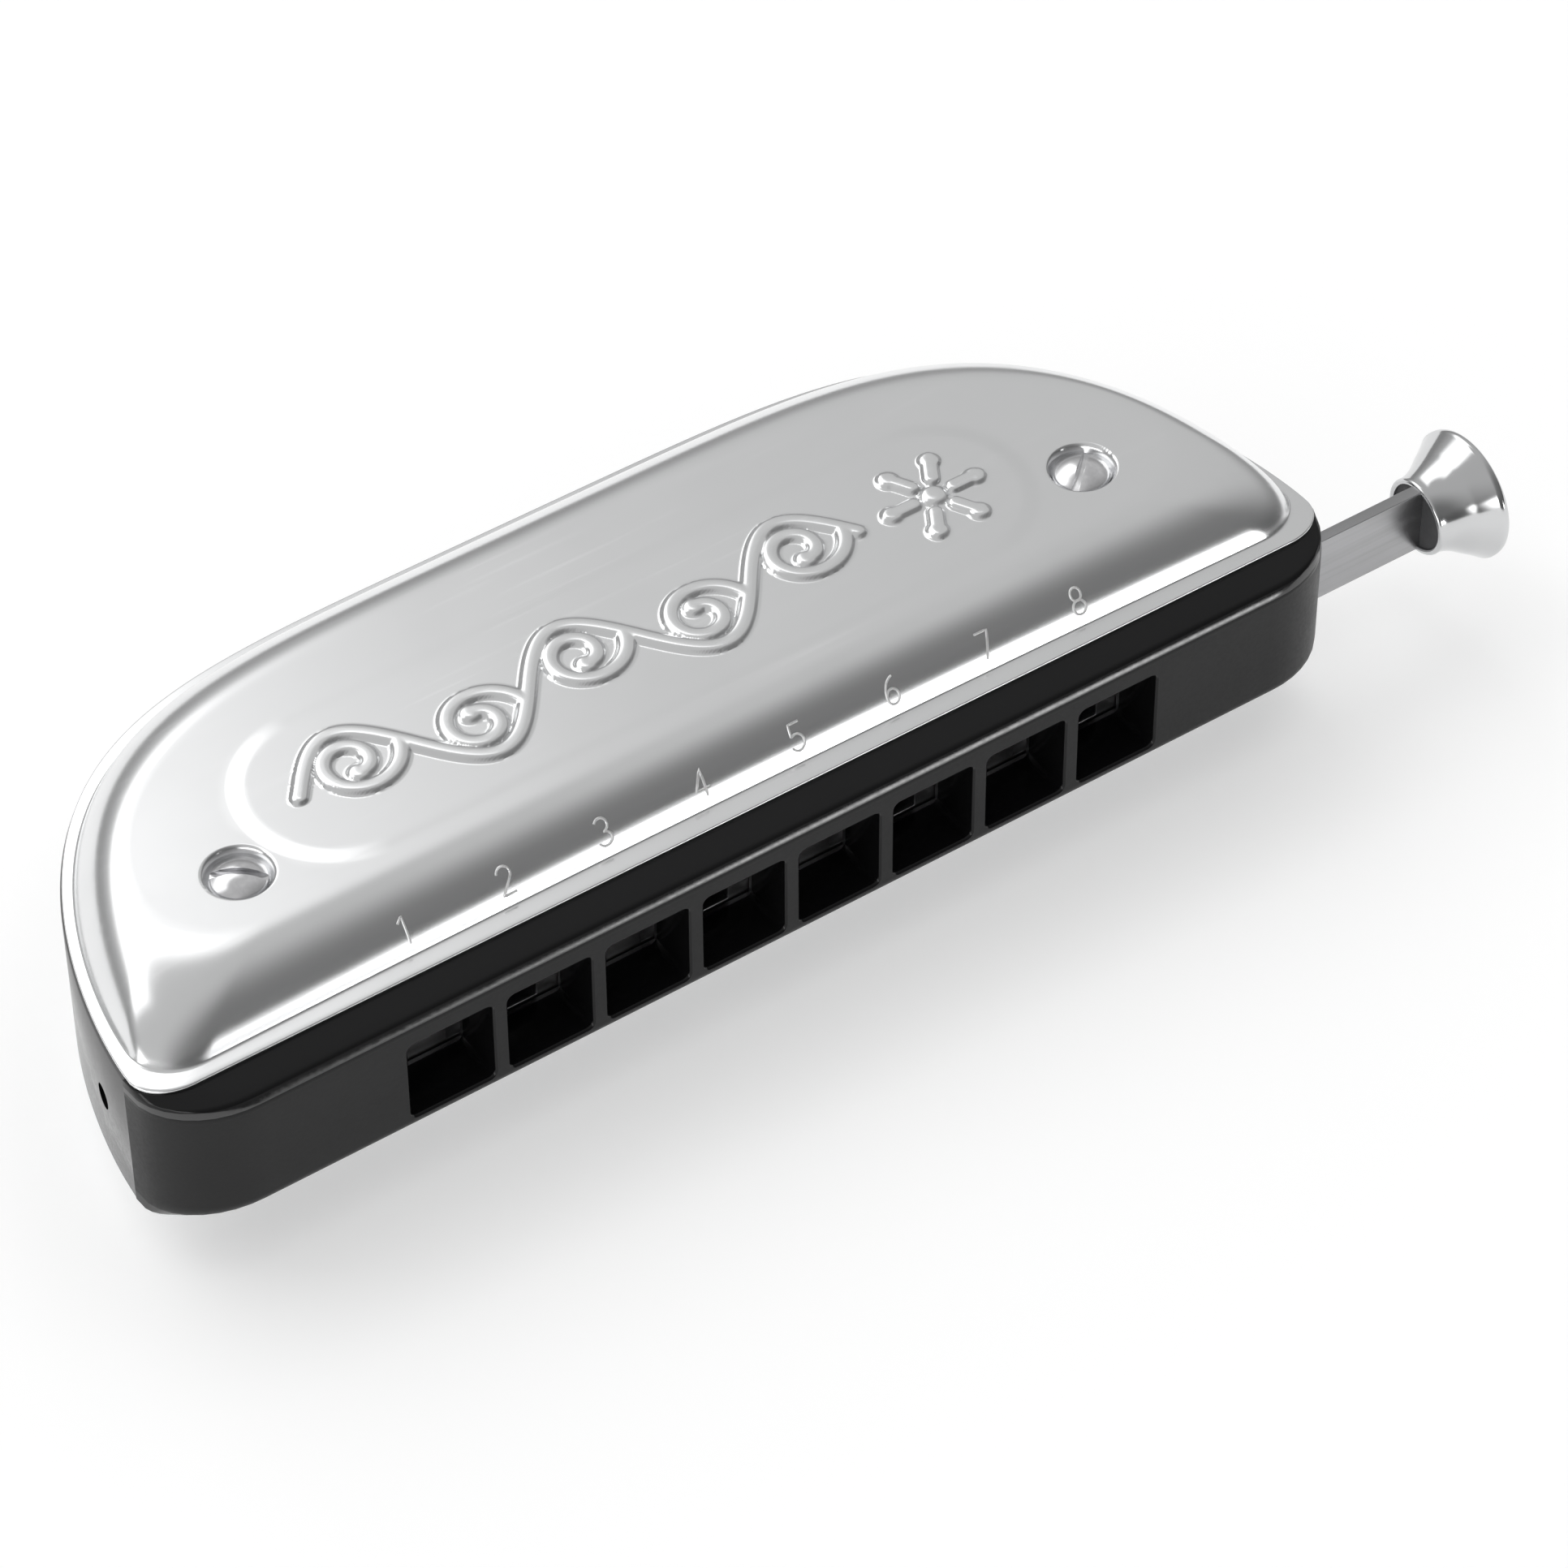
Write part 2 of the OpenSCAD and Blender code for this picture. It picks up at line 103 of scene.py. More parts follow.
# Hole row and slide
HOLES = 8
PITCH = 10.0
ROW_X = 0.4
ROW_Z = (slide_low.z + slide_high.z) / 2
HOLE_W = 8.4
HOLE_H = 8.9
HOLE_CORNER = 0.65
WINDOW_W = 4.2
WINDOW_H = 3.8
WINDOW_DZ = 2.4
SLIDE_Y = (slide_low.y + slide_high.y) / 2
BAR_H = 7.2
SHOULDER_X = 55.2
TRAVEL = 5.0

# Cover screws and the sleeve nuts below them
HEAD_R = 2.5
SCREW_X = screw_high.x - HEAD_R
SCREW_Y = (screw_low.y + screw_high.y) / 2
HEAD_H = 1.3
HEAD_EDGE = 0.5
SLOT_DEPTH = 0.95
SLOT_W = 0.7
SHANK_R = 1.2
SLEEVE_R = 1.9
BORE_GAP = 0.1

# Raised panel on the covers, with round ends
PANEL_X = -0.4
PANEL_Y = -1.8
PANEL_HALF = 40.0
PANEL_R = 8.7


def hole_x(i):
    return ROW_X + (i - (HOLES - 1) / 2) * PITCH


# ---- mesh helpers


def make_object(name, points, faces):
    """A mesh object from points in millimetres."""
    mesh = bpy.data.meshes.new(name)
    mesh.from_pydata([tuple(p * MM for p in point) for point in points], [], faces)
    mesh.validate()
    obj = bpy.data.objects.new(name, mesh)
    bpy.context.scene.collection.objects.link(obj)
    return obj


def skin(rings, cap_start, cap_end, base=0):
    """Faces over closed rings with the same number of points in each, numbered from base."""
    count = len(rings[0])
    faces = []
    for r in range(len(rings) - 1):
        low, high = base + r * count, base + (r + 1) * count
        for i in range(count):
            n = (i + 1) % count
            faces.append((low + i, low + n, high + n, high + i))
    if cap_start:
        faces.append(tuple(base + i for i in reversed(range(count))))
    if cap_end:
        last = base + (len(rings) - 1) * count
        faces.append(tuple(last + i for i in range(count)))
    return faces


def loft(name, rings, cap_start=True, cap_end=True):
    """A mesh object skinned over rings of points."""
    return make_object(name, [p for ring in rings for p in ring], skin(rings, cap_start, cap_end))


def box(name, low, high):
    plan = [(low[0], low[1]), (high[0], low[1]), (high[0], high[1]), (low[0], high[1])]
    return loft(name, [[(x, y, z) for x, y in plan] for z in (low[2], high[2])])


def circle(count):
    """Evenly spaced angles once round."""
    return [2 * pi * k / count for k in range(count)]


def lathe(name, profile, centre, axis, segments=96):
    """Turns (radius, distance along) pairs about an axis from centre. axis is 'X', 'Z' or '-Z'."""
    rings = []
    for radius, along in profile:
        ring = []
        for a in circle(segments):
            p, q = radius * cos(a), radius * sin(a)
            step = {"X": (along, p, q), "Z": (p, q, along), "-Z": (p, -q, -along)}[axis]
            ring.append(tuple(c + d for c, d in zip(centre, step)))
        rings.append(ring)
    return loft(name, rings, profile[0][0] > 0, profile[-1][0] > 0)


def bore(radius, length, start, axis, segments=48):
    """A plain round cutter that runs from start along its axis."""
    return lathe("cutter", [(radius, 0), (radius, length)], start, axis, segments)


def tube(points, radius, sides):
    """Rings of a round tube along points."""
    path = [Vector(p) for p in points]
    rings, side = [], None
    for i, p in enumerate(path):
        ahead = (path[min(i + 1, len(path) - 1)] - path[max(i - 1, 0)]).normalized()
        if side is None:
            side = Vector((0, 1, 0) if abs(ahead.z) > 0.9 else (0, 0, 1))
        side = (side - ahead * side.dot(ahead)).normalized()
        other = ahead.cross(side)
        rings.append([p + radius * (cos(a) * side + sin(a) * other) for a in circle(sides)])
    return rings


def tubes(name, paths, radius, sides):
    """One object that holds a tube along each path."""
    points, faces = [], []
    for path in paths:
        rings = tube(path, radius, sides)
        faces += skin(rings, True, True, len(points))
        points += [p for ring in rings for p in ring]
    return make_object(name, points, faces)


def join(name, objects):
    """Joins objects whose meshes don't overlap."""
    points, faces = [], []
    for obj in objects:
        base = len(points)
        points += [tuple(v.co / MM) for v in obj.data.vertices]
        faces += [tuple(base + i for i in p.vertices) for p in obj.data.polygons]
        bpy.data.objects.remove(obj)
    return make_object(name, points, faces)


def apply_modifiers(obj):
    bpy.context.view_layer.update()
    graph = bpy.context.evaluated_depsgraph_get()
    mesh = bpy.data.meshes.new_from_object(obj.evaluated_get(graph))
    obj.modifiers.clear()
    obj.data = mesh
    return obj


def cut(obj, *cutters):
    """Cuts closed meshes, which don't overlap each other, out of another and removes them."""
    cutter = outward(join("cutters", cutters) if len(cutters) > 1 else cutters[0])
    change = obj.modifiers.new("cut", "BOOLEAN")
    change.operation = "DIFFERENCE"
    change.object = cutter
    change.solver = "EXACT"
    apply_modifiers(obj)
    bpy.data.objects.remove(cutter)
    return obj


def soften(obj, width, segments, angle):
    """Rounds the sharp edges of a mesh."""
    change = obj.modifiers.new("soften", "BEVEL")
    change.width = width * MM
    change.segments = segments
    change.limit_method = "ANGLE"
    change.angle_limit = radians(angle)
    return apply_modifiers(obj)


def outward(obj):
    """Merges doubled points and turns all faces outward."""
    bm = bmesh.new()
    bm.from_mesh(obj.data)
    bmesh.ops.remove_doubles(bm, verts=bm.verts, dist=MERGE)
    bmesh.ops.dissolve_degenerate(bm, edges=bm.edges, dist=MERGE)
    bmesh.ops.recalc_face_normals(bm, faces=bm.faces)
    bm.to_mesh(obj.data)
    bm.free()
    return obj


def smooth(obj, angle):
    """Smooth shading, except over edges sharper than the angle."""
    obj.data.shade_smooth()
    obj.data.set_sharp_from_angle(angle=radians(angle))
    return obj


def finish_piece(obj, body, slot, materials, *nodes):
    """Gives a piece its materials and body, and hides the CAD nodes it stands for."""
    if materials:
        obj.data.materials.clear()
    for material in materials:
        obj.data.materials.append(material)
    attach(obj, body)
    if nodes:
        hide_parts(*nodes)
    return obj


# ---- cover outline

FRONT, CORNER, REAR = 0, 1, 2


class Stations:
    """Places round the outline, counterclockwise from the front centre."""

    def __init__(self, count):
        half = count // 2
        dense = 4000
        kind = np.concatenate([np.full(dense, FRONT), np.full(dense, CORNER), np.full(3 * dense, REAR)])
        ramp = np.linspace(0, 1, 3 * dense)
        value = np.concatenate([np.linspace(0, 1, dense), np.linspace(0, pi / 2, dense),
                                (1 - (1 - ramp) ** 3) * pi / 2])
        self.kind, self.value, self.sign = kind, value, np.ones(len(kind))
        line = self.outline(0)
        length = np.concatenate([[0], np.cumsum(np.hypot(*np.diff(line, axis=0).T))])
        pick = np.searchsorted(length, np.linspace(0, length[-1], half + 1))
        pick[-1] = len(kind) - 1
        back = pick[1:-1][::-1]
        self.kind = np.concatenate([kind[pick], kind[back]])
        self.value = np.concatenate([value[pick], value[back]])
        self.sign = np.concatenate([np.ones(len(pick)), -np.ones(len(back))])

    def outline(self, inset, front=None, corner_w=CORNER_W, grow=0.0, round_in=False):
        """Points of the outline at an inset from the cover's edge."""
        front = FRONT_Y + inset if front is None else front
        a = HALF_LEN + grow - inset
        wide = max(WIDEST_Y, front + MIN_CORNER)
        bend = max(corner_w + grow - inset, MIN_CORNER)
        if round_in:
            wide = front + WIDEST_Y - FRONT_Y + CORNER_GROWTH * inset
            bend = corner_w + CORNER_GROWTH * inset
        b = REAR_Y + grow - inset - wide
        deep = wide - front
        value = np.asarray(self.value)
        x = np.where(self.kind == FRONT, value * (a - bend),
                     np.where(self.kind == CORNER, a - bend + bend * np.sin(value),
                              a * np.clip(np.cos(value), 0, 1) ** (2 / END_POWER)))
        y = np.where(self.kind == FRONT, front,
                     np.where(self.kind == CORNER, wide - deep * np.cos(value),
                              wide + b * np.clip(np.sin(value), 0, 1) ** (2 / REAR_POWER)))
        return np.stack([self.sign * x, y], axis=1)


def stadium(count, radius):
    """Outline of the panel at a radius, with each point beside the cover outline's point."""
    half = count // 2
    straight = PANEL_HALF - PANEL_R
    arc = pi * PANEL_R
    out = []
    for i in range(count):
        j = i if i <= half else count - i
        run = (2 * straight + arc) * j / half
        if run <= straight:
            x, y = run, -radius
        elif run >= straight + arc:
            x, y = 2 * straight + arc - run, radius
        else:
            a = (run - straight) / PANEL_R
            x, y = straight + radius * sin(a), -radius * cos(a)
        out.append((PANEL_X + (x if i <= half else -x), PANEL_Y + y))
    return np.array(out)


# ---- cover section

RIM_R = 0.16
RIM_STEPS = 4
UNDER_RIM = 0.5
FLANGE_W = 1.15
FILLET_R = 0.3
FILLET_STEPS = 8
WALL_LEAN = 65
WALL_RUN = 0.25
FRONT_BOW = 0.6
BOW_HALF = 58.0
BOW_SOFT = 6.0
BOW_START = 0.4
BOW_END = 7.5
FLAT_LEAN = 0.6
FLANGE_DROP = 0.08
SHOULDER_STEPS = 40
SHOULDER_EASE = 0.4
SHOULDER_END = 8.5


def spaced(start, end, count):
    """Evenly spaced values after start, up to and including end."""
    return [start + (end - start) * k / count for k in range(1, count + 1)]


def cover_section(middle_h):
    """Outer section of a cover, as (inset, height, lean in degrees) from the flange inwards."""
    out = [(FLANGE_W, 0.0, 0.0)]
    for lean in spaced(0, WALL_LEAN, FILLET_STEPS):
        a = radians(lean)
        out.append((FLANGE_W + FILLET_R * sin(a), FILLET_R * (1 - cos(a)), lean))
    steep = radians(WALL_LEAN)
    d, h, _ = out[-1]
    d, h = d + WALL_RUN * cos(steep), h + WALL_RUN * sin(steep)
    out.append((d, h, WALL_LEAN))
    # The shoulder bends tightly above the wall and ever more gently towards the panel
    leans = [WALL_LEAN] + spaced(WALL_LEAN, FLAT_LEAN, SHOULDER_STEPS)
    runs = []
    for a, b in zip(leans, leans[1:]):
        mean = radians((a + b) / 2)
        length = (1 + SHOULDER_EASE * (1 - (a + b) / 2 / WALL_LEAN) ** 2) * radians(a - b)
        runs.append((length * cos(mean), length * sin(mean)))
    across = (SHOULDER_END - d) / sum(run[0] for run in runs)
    up = (middle_h - h) / sum(run[1] for run in runs)
    for (run_d, run_h), lean in zip(runs, leans[1:]):
        d, h = d + run_d * across, h + run_h * up
        out.append((d, h, lean))
    return out


def smoothstep(low, high, value):
    """0 below low, 1 above high and an even curve between them."""
    t = min(max((value - low) / (high - low), 0.0), 1.0)
    return t * t * (3 - 2 * t)


def bow_share(inset):
    """How much of the front's bow is felt at an inset: none at the edge or on the flat middle."""
    return smoothstep(FLANGE_W * BOW_START, FLANGE_W, inset) * (1 - smoothstep(FLANGE_W, BOW_END, inset))


def middle_bow(x):
    """How far the front of the raised part is set back at x, where the bow is felt in full."""
    return FRONT_BOW * max(1 - (x / BOW_HALF) ** 2, 0.0)


# Relief of the covers: panel step, dimples, a running scroll with curls, and a flower
PANEL_SOFT = 0.95
DIMPLE_DEPTH = 1.1
DIMPLE_FLOOR_R = 2.5
DIMPLE_LIP_R = 3.25
SCROLL_START = -35.0
SCROLL_BULGES = 5
SCROLL_BULGE = 11.6
SCROLL_AMP = 5.0
SCROLL_STEPS = 90
STRAND_W = 0.95
CURL_START_R = 3.9
CURL_END_R = 1.3
CURL_POWER = 0.85
CURL_TURN = 1.25
CURL_RISE = 1.0
CURL_LEAD = 0.9
CURL_STEPS = 160
BEAD_R = 1.25
FLOWER_X = 31.2
FLOWER_R = 4.8
FLOWER_EYE_R = 1.5
FLOWER_PETALS = 6
PETAL_START_R = 2.2
PETAL_BEAD_R = FLOWER_R - 0.3
PETAL_STEPS = 24
MOTIF_HALF_H = 6.4
MOTIF_HALF_L = 38.0


def from_screw(x, y):
    """Distance from the nearer screw's axis."""
    return hypot(abs(x) - SCREW_X, y - SCREW_Y)


def dimple(x, y, grow=0.0):
    """Depth of the round dimples that hold the screw heads."""
    near = from_screw(x, y)
    return DIMPLE_DEPTH * (1 - smoothstep(DIMPLE_FLOOR_R + grow, DIMPLE_LIP_R + grow, near))


def panel_step(x, y):
    """0 outside the raised panel, 1 on it."""
    straight = PANEL_HALF - PANEL_R
    dx = max(abs(x - PANEL_X) - straight, 0.0)
    gap = hypot(dx, y - PANEL_Y) - PANEL_R
    return 1 - smoothstep(-PANEL_SOFT, PANEL_SOFT, gap)


def scroll_strokes():
    """Points along a running plant scroll and a flower, and the beads that end its curls."""
    points, beads = [], []
    for k in range(SCROLL_BULGES * SCROLL_STEPS + 1):
        u = k / SCROLL_STEPS
        points.append((SCROLL_START + SCROLL_BULGE * u, SCROLL_AMP * sin(pi * u)))
    for k in range(SCROLL_BULGES):
        side = 1 if k % 2 == 0 else -1
        middle = SCROLL_START + SCROLL_BULGE * (k + 0.5)
        for n in range(CURL_STEPS + 1):
            share = n / CURL_STEPS
            a = -2 * pi * CURL_TURN * share
            radius = CURL_START_R + (CURL_END_R - CURL_START_R) * share ** CURL_POWER
            x = middle + radius * cos(a) + CURL_LEAD * (1 - share) ** 4
            points.append((x, side * (CURL_RISE + radius * sin(a))))
        beads.append((*points[-1], BEAD_R))
    for a in circle(FLOWER_PETALS):
        for n in range(PETAL_STEPS + 1):
            radius = PETAL_START_R + (FLOWER_R - PETAL_START_R) * n / PETAL_STEPS
            points.append((FLOWER_X + radius * cos(a), radius * sin(a)))
        beads.append((FLOWER_X + PETAL_BEAD_R * cos(a), PETAL_BEAD_R * sin(a), BEAD_R))
    beads.append((FLOWER_X, 0.0, FLOWER_EYE_R))
    tree = KDTree(len(points))
    for i, (x, y) in enumerate(points):
        tree.insert((x, y, 0), i)
    tree.balance()
    return tree, beads


scroll_tree, scroll_beads = scroll_strokes()

# Height of each cover's middle over its flange, and what the panel and the scroll add to it
TOP_MIDDLE_H = 5.0
TOP_PANEL_RISE = 0.12
SCROLL_RISE = 0.45
BOTTOM_MIDDLE_H = 5.3
BOTTOM_PANEL_RISE = 0.3
# Rings round the panel's step, from outside in, then even ones to its middle line
STEP_OUT = 0.9
STEP_RUN = 0.15
STEP_RINGS = 12
PANEL_RINGS = 24
# Faces nearer to a screw than each reach are divided once more
REFINE_REACH = (4.6, 4.2, 3.9)
SET_REACH = 5.4
FACING_UP = 0.2


def motif(x, y):
    """Height of the scroll relief, 0 to 1."""
    u, w = x - PANEL_X, y - PANEL_Y
    if abs(u) > MOTIF_HALF_L or abs(w) > MOTIF_HALF_H:
        return 0.0
    away = scroll_tree.find((u, w, 0))[2]
    best = 1 - (away / STRAND_W) ** 2
    for bx, by, radius in scroll_beads:
        best = max(best, 1 - hypot(u - bx, w - by) ** 2 / radius ** 2)
    if best <= 0:
        return 0.0
    # Round on top and hollow at the foot. The two curves meet halfway, at 0.75.
    return 1 - (1 - best) ** 2 if best > 0.5 else best * best * 3


class Cover:
    """Builds one pressed cover, drawn as the top one."""

    def __init__(self, name, count, middle_h, panel_rise, motif_rise):
        self.count = count
        self.middle_z = FLANGE_Z + middle_h
        self.panel_rise, self.motif_rise = panel_rise, motif_rise
        self.section = cover_section(middle_h)
        self.stations = Stations(count)
        self.obj = loft(name, self.under_rings() + self.rim_rings() + self.over_rings(), False, False)
        self.refine()

    def ring(self, inset, height):
        line = self.bowed(max(inset, 0.0))
        return [(x, y, FLANGE_Z + height) for x, y in line]

    def bowed(self, inset):
        """The outline at an inset, with the front of the raised part set back a little in the middle."""
        share = bow_share(inset)
        out = []
        for x, y in self.stations.outline(inset, round_in=True):
            front = 1 - smoothstep(0, BOW_SOFT, y - FRONT_Y - inset)
            out.append((x, y + middle_bow(x) * share * front))
        return np.array(out)

    def under_rings(self):
        """Underside, from the middle out to the rim."""
        last, _, last_lean = self.section[-1]
        lines = [stadium(self.count, r) for r in (0.0, 3.0, 6.0, PANEL_R - SHEET, PANEL_R, PANEL_R + SHEET)]
        edge = self.bowed(last + SHEET * sin(radians(last_lean)))
        inner = lines[-1]
        lines += [inner + (edge - inner) * share for share in spaced(0, 1, 5)]
        rings = [[(x, y, self.under(x, y)) for x, y in line] for line in lines]
        for d, h, lean in self.section[-2::-1]:
            a = radians(lean)
            rings.append(self.ring(d + SHEET * sin(a), h - SHEET * cos(a)))
        return rings + [self.ring(UNDER_RIM, -SHEET)]

    def rim_rings(self):
        """Round edge of the sheet, from below to above."""
        turn = [radians(90 * k / RIM_STEPS) for k in range(RIM_STEPS + 1)]
        low = [self.ring(RIM_R * (1 - sin(a)), RIM_R * (1 - cos(a)) - SHEET) for a in turn]
        high = [self.ring(RIM_R * (1 - cos(a)), RIM_R * (sin(a) - 1) - FLANGE_DROP) for a in turn]
        return low + high

    def over_rings(self):
        """Outer face, from the flange in to the middle."""
        rings = [self.ring(FLANGE_W / 2, -FLANGE_DROP / 2)]
        rings += [self.ring(d, h) for d, h, _ in self.section]
        edge = self.bowed(self.section[-1][0])
        outer = stadium(self.count, PANEL_R + STEP_OUT)
        lines = [edge + (outer - edge) * share for share in spaced(0, 1, 12)]
        radii = [PANEL_R + STEP_OUT - 0.1 - STEP_RUN * k for k in range(STEP_RINGS)]
        radii += [radii[-1] * (1 - k / PANEL_RINGS) for k in range(1, PANEL_RINGS + 1)]
        lines += [stadium(self.count, radius) for radius in radii]
        return rings + [[(x, y, self.over(x, y)) for x, y in line] for line in lines]

    def over(self, x, y):
        """Height of the outer face in the middle of the cover."""
        z = self.middle_z + self.panel_rise * panel_step(x, y) - dimple(x, y)
        if self.motif_rise:
            z += self.motif_rise * motif(x, y)
        return z

    def under(self, x, y):
        """Height of the underside in the middle of the cover."""
        return self.middle_z + self.panel_rise * panel_step(x, y) - SHEET - dimple(x, y, SHEET)

    def refine(self):
        """Divides the faces of the dimples and of the scroll, and sets their points on the surface."""
        bm = bmesh.new()
        bm.from_mesh(self.obj.data)
        bmesh.ops.remove_doubles(bm, verts=bm.verts, dist=10 * MERGE)
        dimple_z = self.middle_z - 2 * DIMPLE_DEPTH
        motif_z = self.middle_z - SHEET / 2

        def zone(face, reach, motif_too):
            if face.normal.z <= FACING_UP:
                return False
            c = face.calc_center_median() / MM
            if from_screw(c.x, c.y) < reach and c.z > dimple_z:
                return True
            inside = abs(c.x - PANEL_X) < MOTIF_HALF_L and abs(c.y - PANEL_Y) < MOTIF_HALF_H
            return motif_too and inside and c.z > motif_z

        for level, reach in enumerate(REFINE_REACH):
            motif_too = bool(self.motif_rise) and level == 0
            bm.faces.ensure_lookup_table()
            bm.normal_update()
            chosen = [f for f in bm.faces if zone(f, reach, motif_too)]
            edges = list({e for f in chosen for e in f.edges})
            bmesh.ops.subdivide_edges(bm, edges=edges, cuts=1, use_grid_fill=True)
            bm.normal_update()
            for f in bm.faces:
                if zone(f, SET_REACH, motif_too):
                    for v in f.verts:
                        v.co.z = self.over(v.co.x / MM, v.co.y / MM) * MM
        bm.to_mesh(self.obj.data)
        bm.free()


SOUND_SLOTS = 5
SOUND_PITCH = 14.0
SOUND_HALF = 5.0
SOUND_R = 0.75
SOUND_Z = FLANGE_Z + 1.7
SOUND_Y = (14.0, 22.0)


def sound_cutter(middle):
    """Slot with round ends that runs along X and is cut along Y."""
    ring = []
    for side in (1, -1):
        for k in range(17):
            a = radians(-90 * side + 180 * k / 16)
            x = middle + side * (SOUND_HALF - SOUND_R) + SOUND_R * cos(a)
            ring.append((x, SOUND_Z + SOUND_R * sin(a)))
    return loft("cutter", [[(x, y, z) for x, z in ring] for y in reversed(SOUND_Y)])


def make_cover(name, top):
    if top:
        obj = Cover(name, TOP_POINTS, TOP_MIDDLE_H, TOP_PANEL_RISE, SCROLL_RISE).obj
    else:
        obj = Cover(name, BOTTOM_POINTS, BOTTOM_MIDDLE_H, BOTTOM_PANEL_RISE, 0.0).obj
    radius = (SHANK_R if top else SLEEVE_R) + BORE_GAP
    cutters = [sound_cutter((i - (SOUND_SLOTS - 1) / 2) * SOUND_PITCH) for i in range(SOUND_SLOTS)]
    cutters += [bore(radius, 6, (x, SCREW_Y, FLANGE_Z + 1), "Z") for x in (-SCREW_X, SCREW_X)]
    cut(outward(obj), *cutters)
    if not top:
        obj.data.transform(Matrix.Translation((0, 0, 2 * MID_Z * MM)) @ Matrix.Scale(-1, 4, (0, 0, 1)))
    return smooth(outward(obj), 40)


# ---- mouthpiece and comb

FACE_TOP = 6.9
FACE_BOTTOM = -6.0
LIP_R = 1.0
LIP_LINE = 0.62
LIP_LINE_LEANS = (24, 33)
LIP_STEPS = 6
GLOSS, SATIN, LIP = 0, 1, 2
EDGE_LOW_R = 1.0
EDGE_STEPS = 10
SEAM_EASE = 0.06


def bezier(a, b, c, count):
    """Points along a curve from a to c that is drawn towards b."""
    out = []
    for k in range(count + 1):
        t = k / count
        out.append(tuple((1 - t) ** 2 * p + 2 * t * (1 - t) * q + t * t * r for p, q, r in zip(a, b, c)))
    return out


def lip_arc(top_lean):
    """Steps (out, down, finish) round the upper lip, with a gently bent band that catches the light."""
    low, high = LIP_LINE_LEANS
    band_r = LIP_LINE / radians(high - low)
    out, down, points = 0.0, 0.0, []
    for start, end, radius in ((top_lean, high, LIP_R), (high, low, band_r), (low, 0, LIP_R)):
        for a in spaced(start, end, LIP_STEPS):
            mean = radians(a - (end - start) / (2 * LIP_STEPS))
            length = radius * radians((start - end) / LIP_STEPS)
            out, down = out + length * sin(mean), down + length * cos(mean)
            points.append((out, down, LIP if low - 2 <= a <= high + 1 else GLOSS))
    return points


def mouth_section():
    """(share of the way out to the face, height from the middle, finish), top to bottom."""
    top_band = COMB_HALF - FACE_TOP
    low_band = COMB_HALF + FACE_BOTTOM
    deep = FRONT_Y - MOUTH_Y
    seam = (0.0, COMB_HALF)
    ease = bezier((SEAM_EASE / 3, COMB_HALF - 0.01), seam, (SEAM_EASE, COMB_HALF - SEAM_EASE * top_band), 2)
    top = [seam] + ease[1:] + [(s, COMB_HALF - s * top_band) for s in (0.25, 0.5)]
    arc = lip_arc(90 - degrees(atan2(top_band, deep)))
    begin = 1 - arc[-1][0] / deep
    begin_z = COMB_HALF - begin * top_band
    lip = [(begin + out / deep, begin_z - down, finish) for out, down, finish in arc]
    turn = 1 - EDGE_LOW_R / deep
    turn_end = (turn, low_band * turn - COMB_HALF)
    face = [(1.0, z) for z in (4.0, 0.0, -3.0)]
    face += bezier((1, FACE_BOTTOM + EDGE_LOW_R), (1, FACE_BOTTOM), turn_end, EDGE_STEPS)
    under = [(s, low_band * s - COMB_HALF) for s in (0.6, 0.3, 0.0)]
    return ([(*p, GLOSS) for p in top + [(begin, begin_z)]] + lip + [(*p, SATIN) for p in face]
            + [(*p, GLOSS) for p in under])


def mouthpiece_rings():
    stations = Stations(BODY_POINTS)
    outer = stations.outline(0, MOUTH_Y, FACE_CORNER_W, END_PROUD)
    inner = stations.outline(0, FRONT_Y, CORNER_W, END_PROUD)
    front = [i for i in range(len(outer)) if stations.kind[i] != REAR]
    front.sort(key=lambda i: stations.sign[i])
    ends = [(HALF_LEN + END_PROUD, SEAM_Y), (-HALF_LEN - END_PROUD, SEAM_Y)]
    rings = []
    for share, height, _ in mouth_section():
        line = list(inner[front] + (outer[front] - inner[front]) * share) + ends
        rings.append([(x, y, MID_Z + height) for x, y in line])
    return rings


def hole_cutter(i):
    """Square hole with round corners and a small flared lip at the mouth face."""
    flare = [(MOUTH_Y - 0.5, 0.42), (MOUTH_Y, 0.22), (MOUTH_Y + 0.07, 0.12), (MOUTH_Y + 0.16, 0.05),
             (MOUTH_Y + 0.3, 0.0), (SEAM_Y + 0.5, 0.0)]
    half_w, half_h = HOLE_W / 2 - HOLE_CORNER, HOLE_H / 2 - HOLE_CORNER
    rings = []
    for y, grow in flare:
        radius = HOLE_CORNER + grow
        ring = []
        for quarter, (side, up) in enumerate(((-1, -1), (1, -1), (1, 1), (-1, 1))):
            for k in range(6):
                a = radians(180 + 90 * quarter + 90 * k / 5)
                ring.append((hole_x(i) + side * half_w + radius * cos(a), y,
                             ROW_Z + up * half_h + radius * sin(a)))
        rings.append(ring)
    return loft("cutter", rings)


SPRING_BORE_R = 1.9
PIN_HOLE_DEEP = 3
POCKET_LEFT = slide_low.x - TRAVEL - 0.6
POCKET_RIGHT = box_mm("slide_stop_bumper")[1].x
POCKET_FRONT = plate_low.y
POCKET_HALF = (slide_high.z - slide_low.z) / 2 + 0.3
SLIDE_GAP = 0.2


def spring_bore_cutter():
    return bore(SPRING_BORE_R, slide_low.x - spring_low.x, (spring_low.x, SLIDE_Y, ROW_Z), "X", 40)


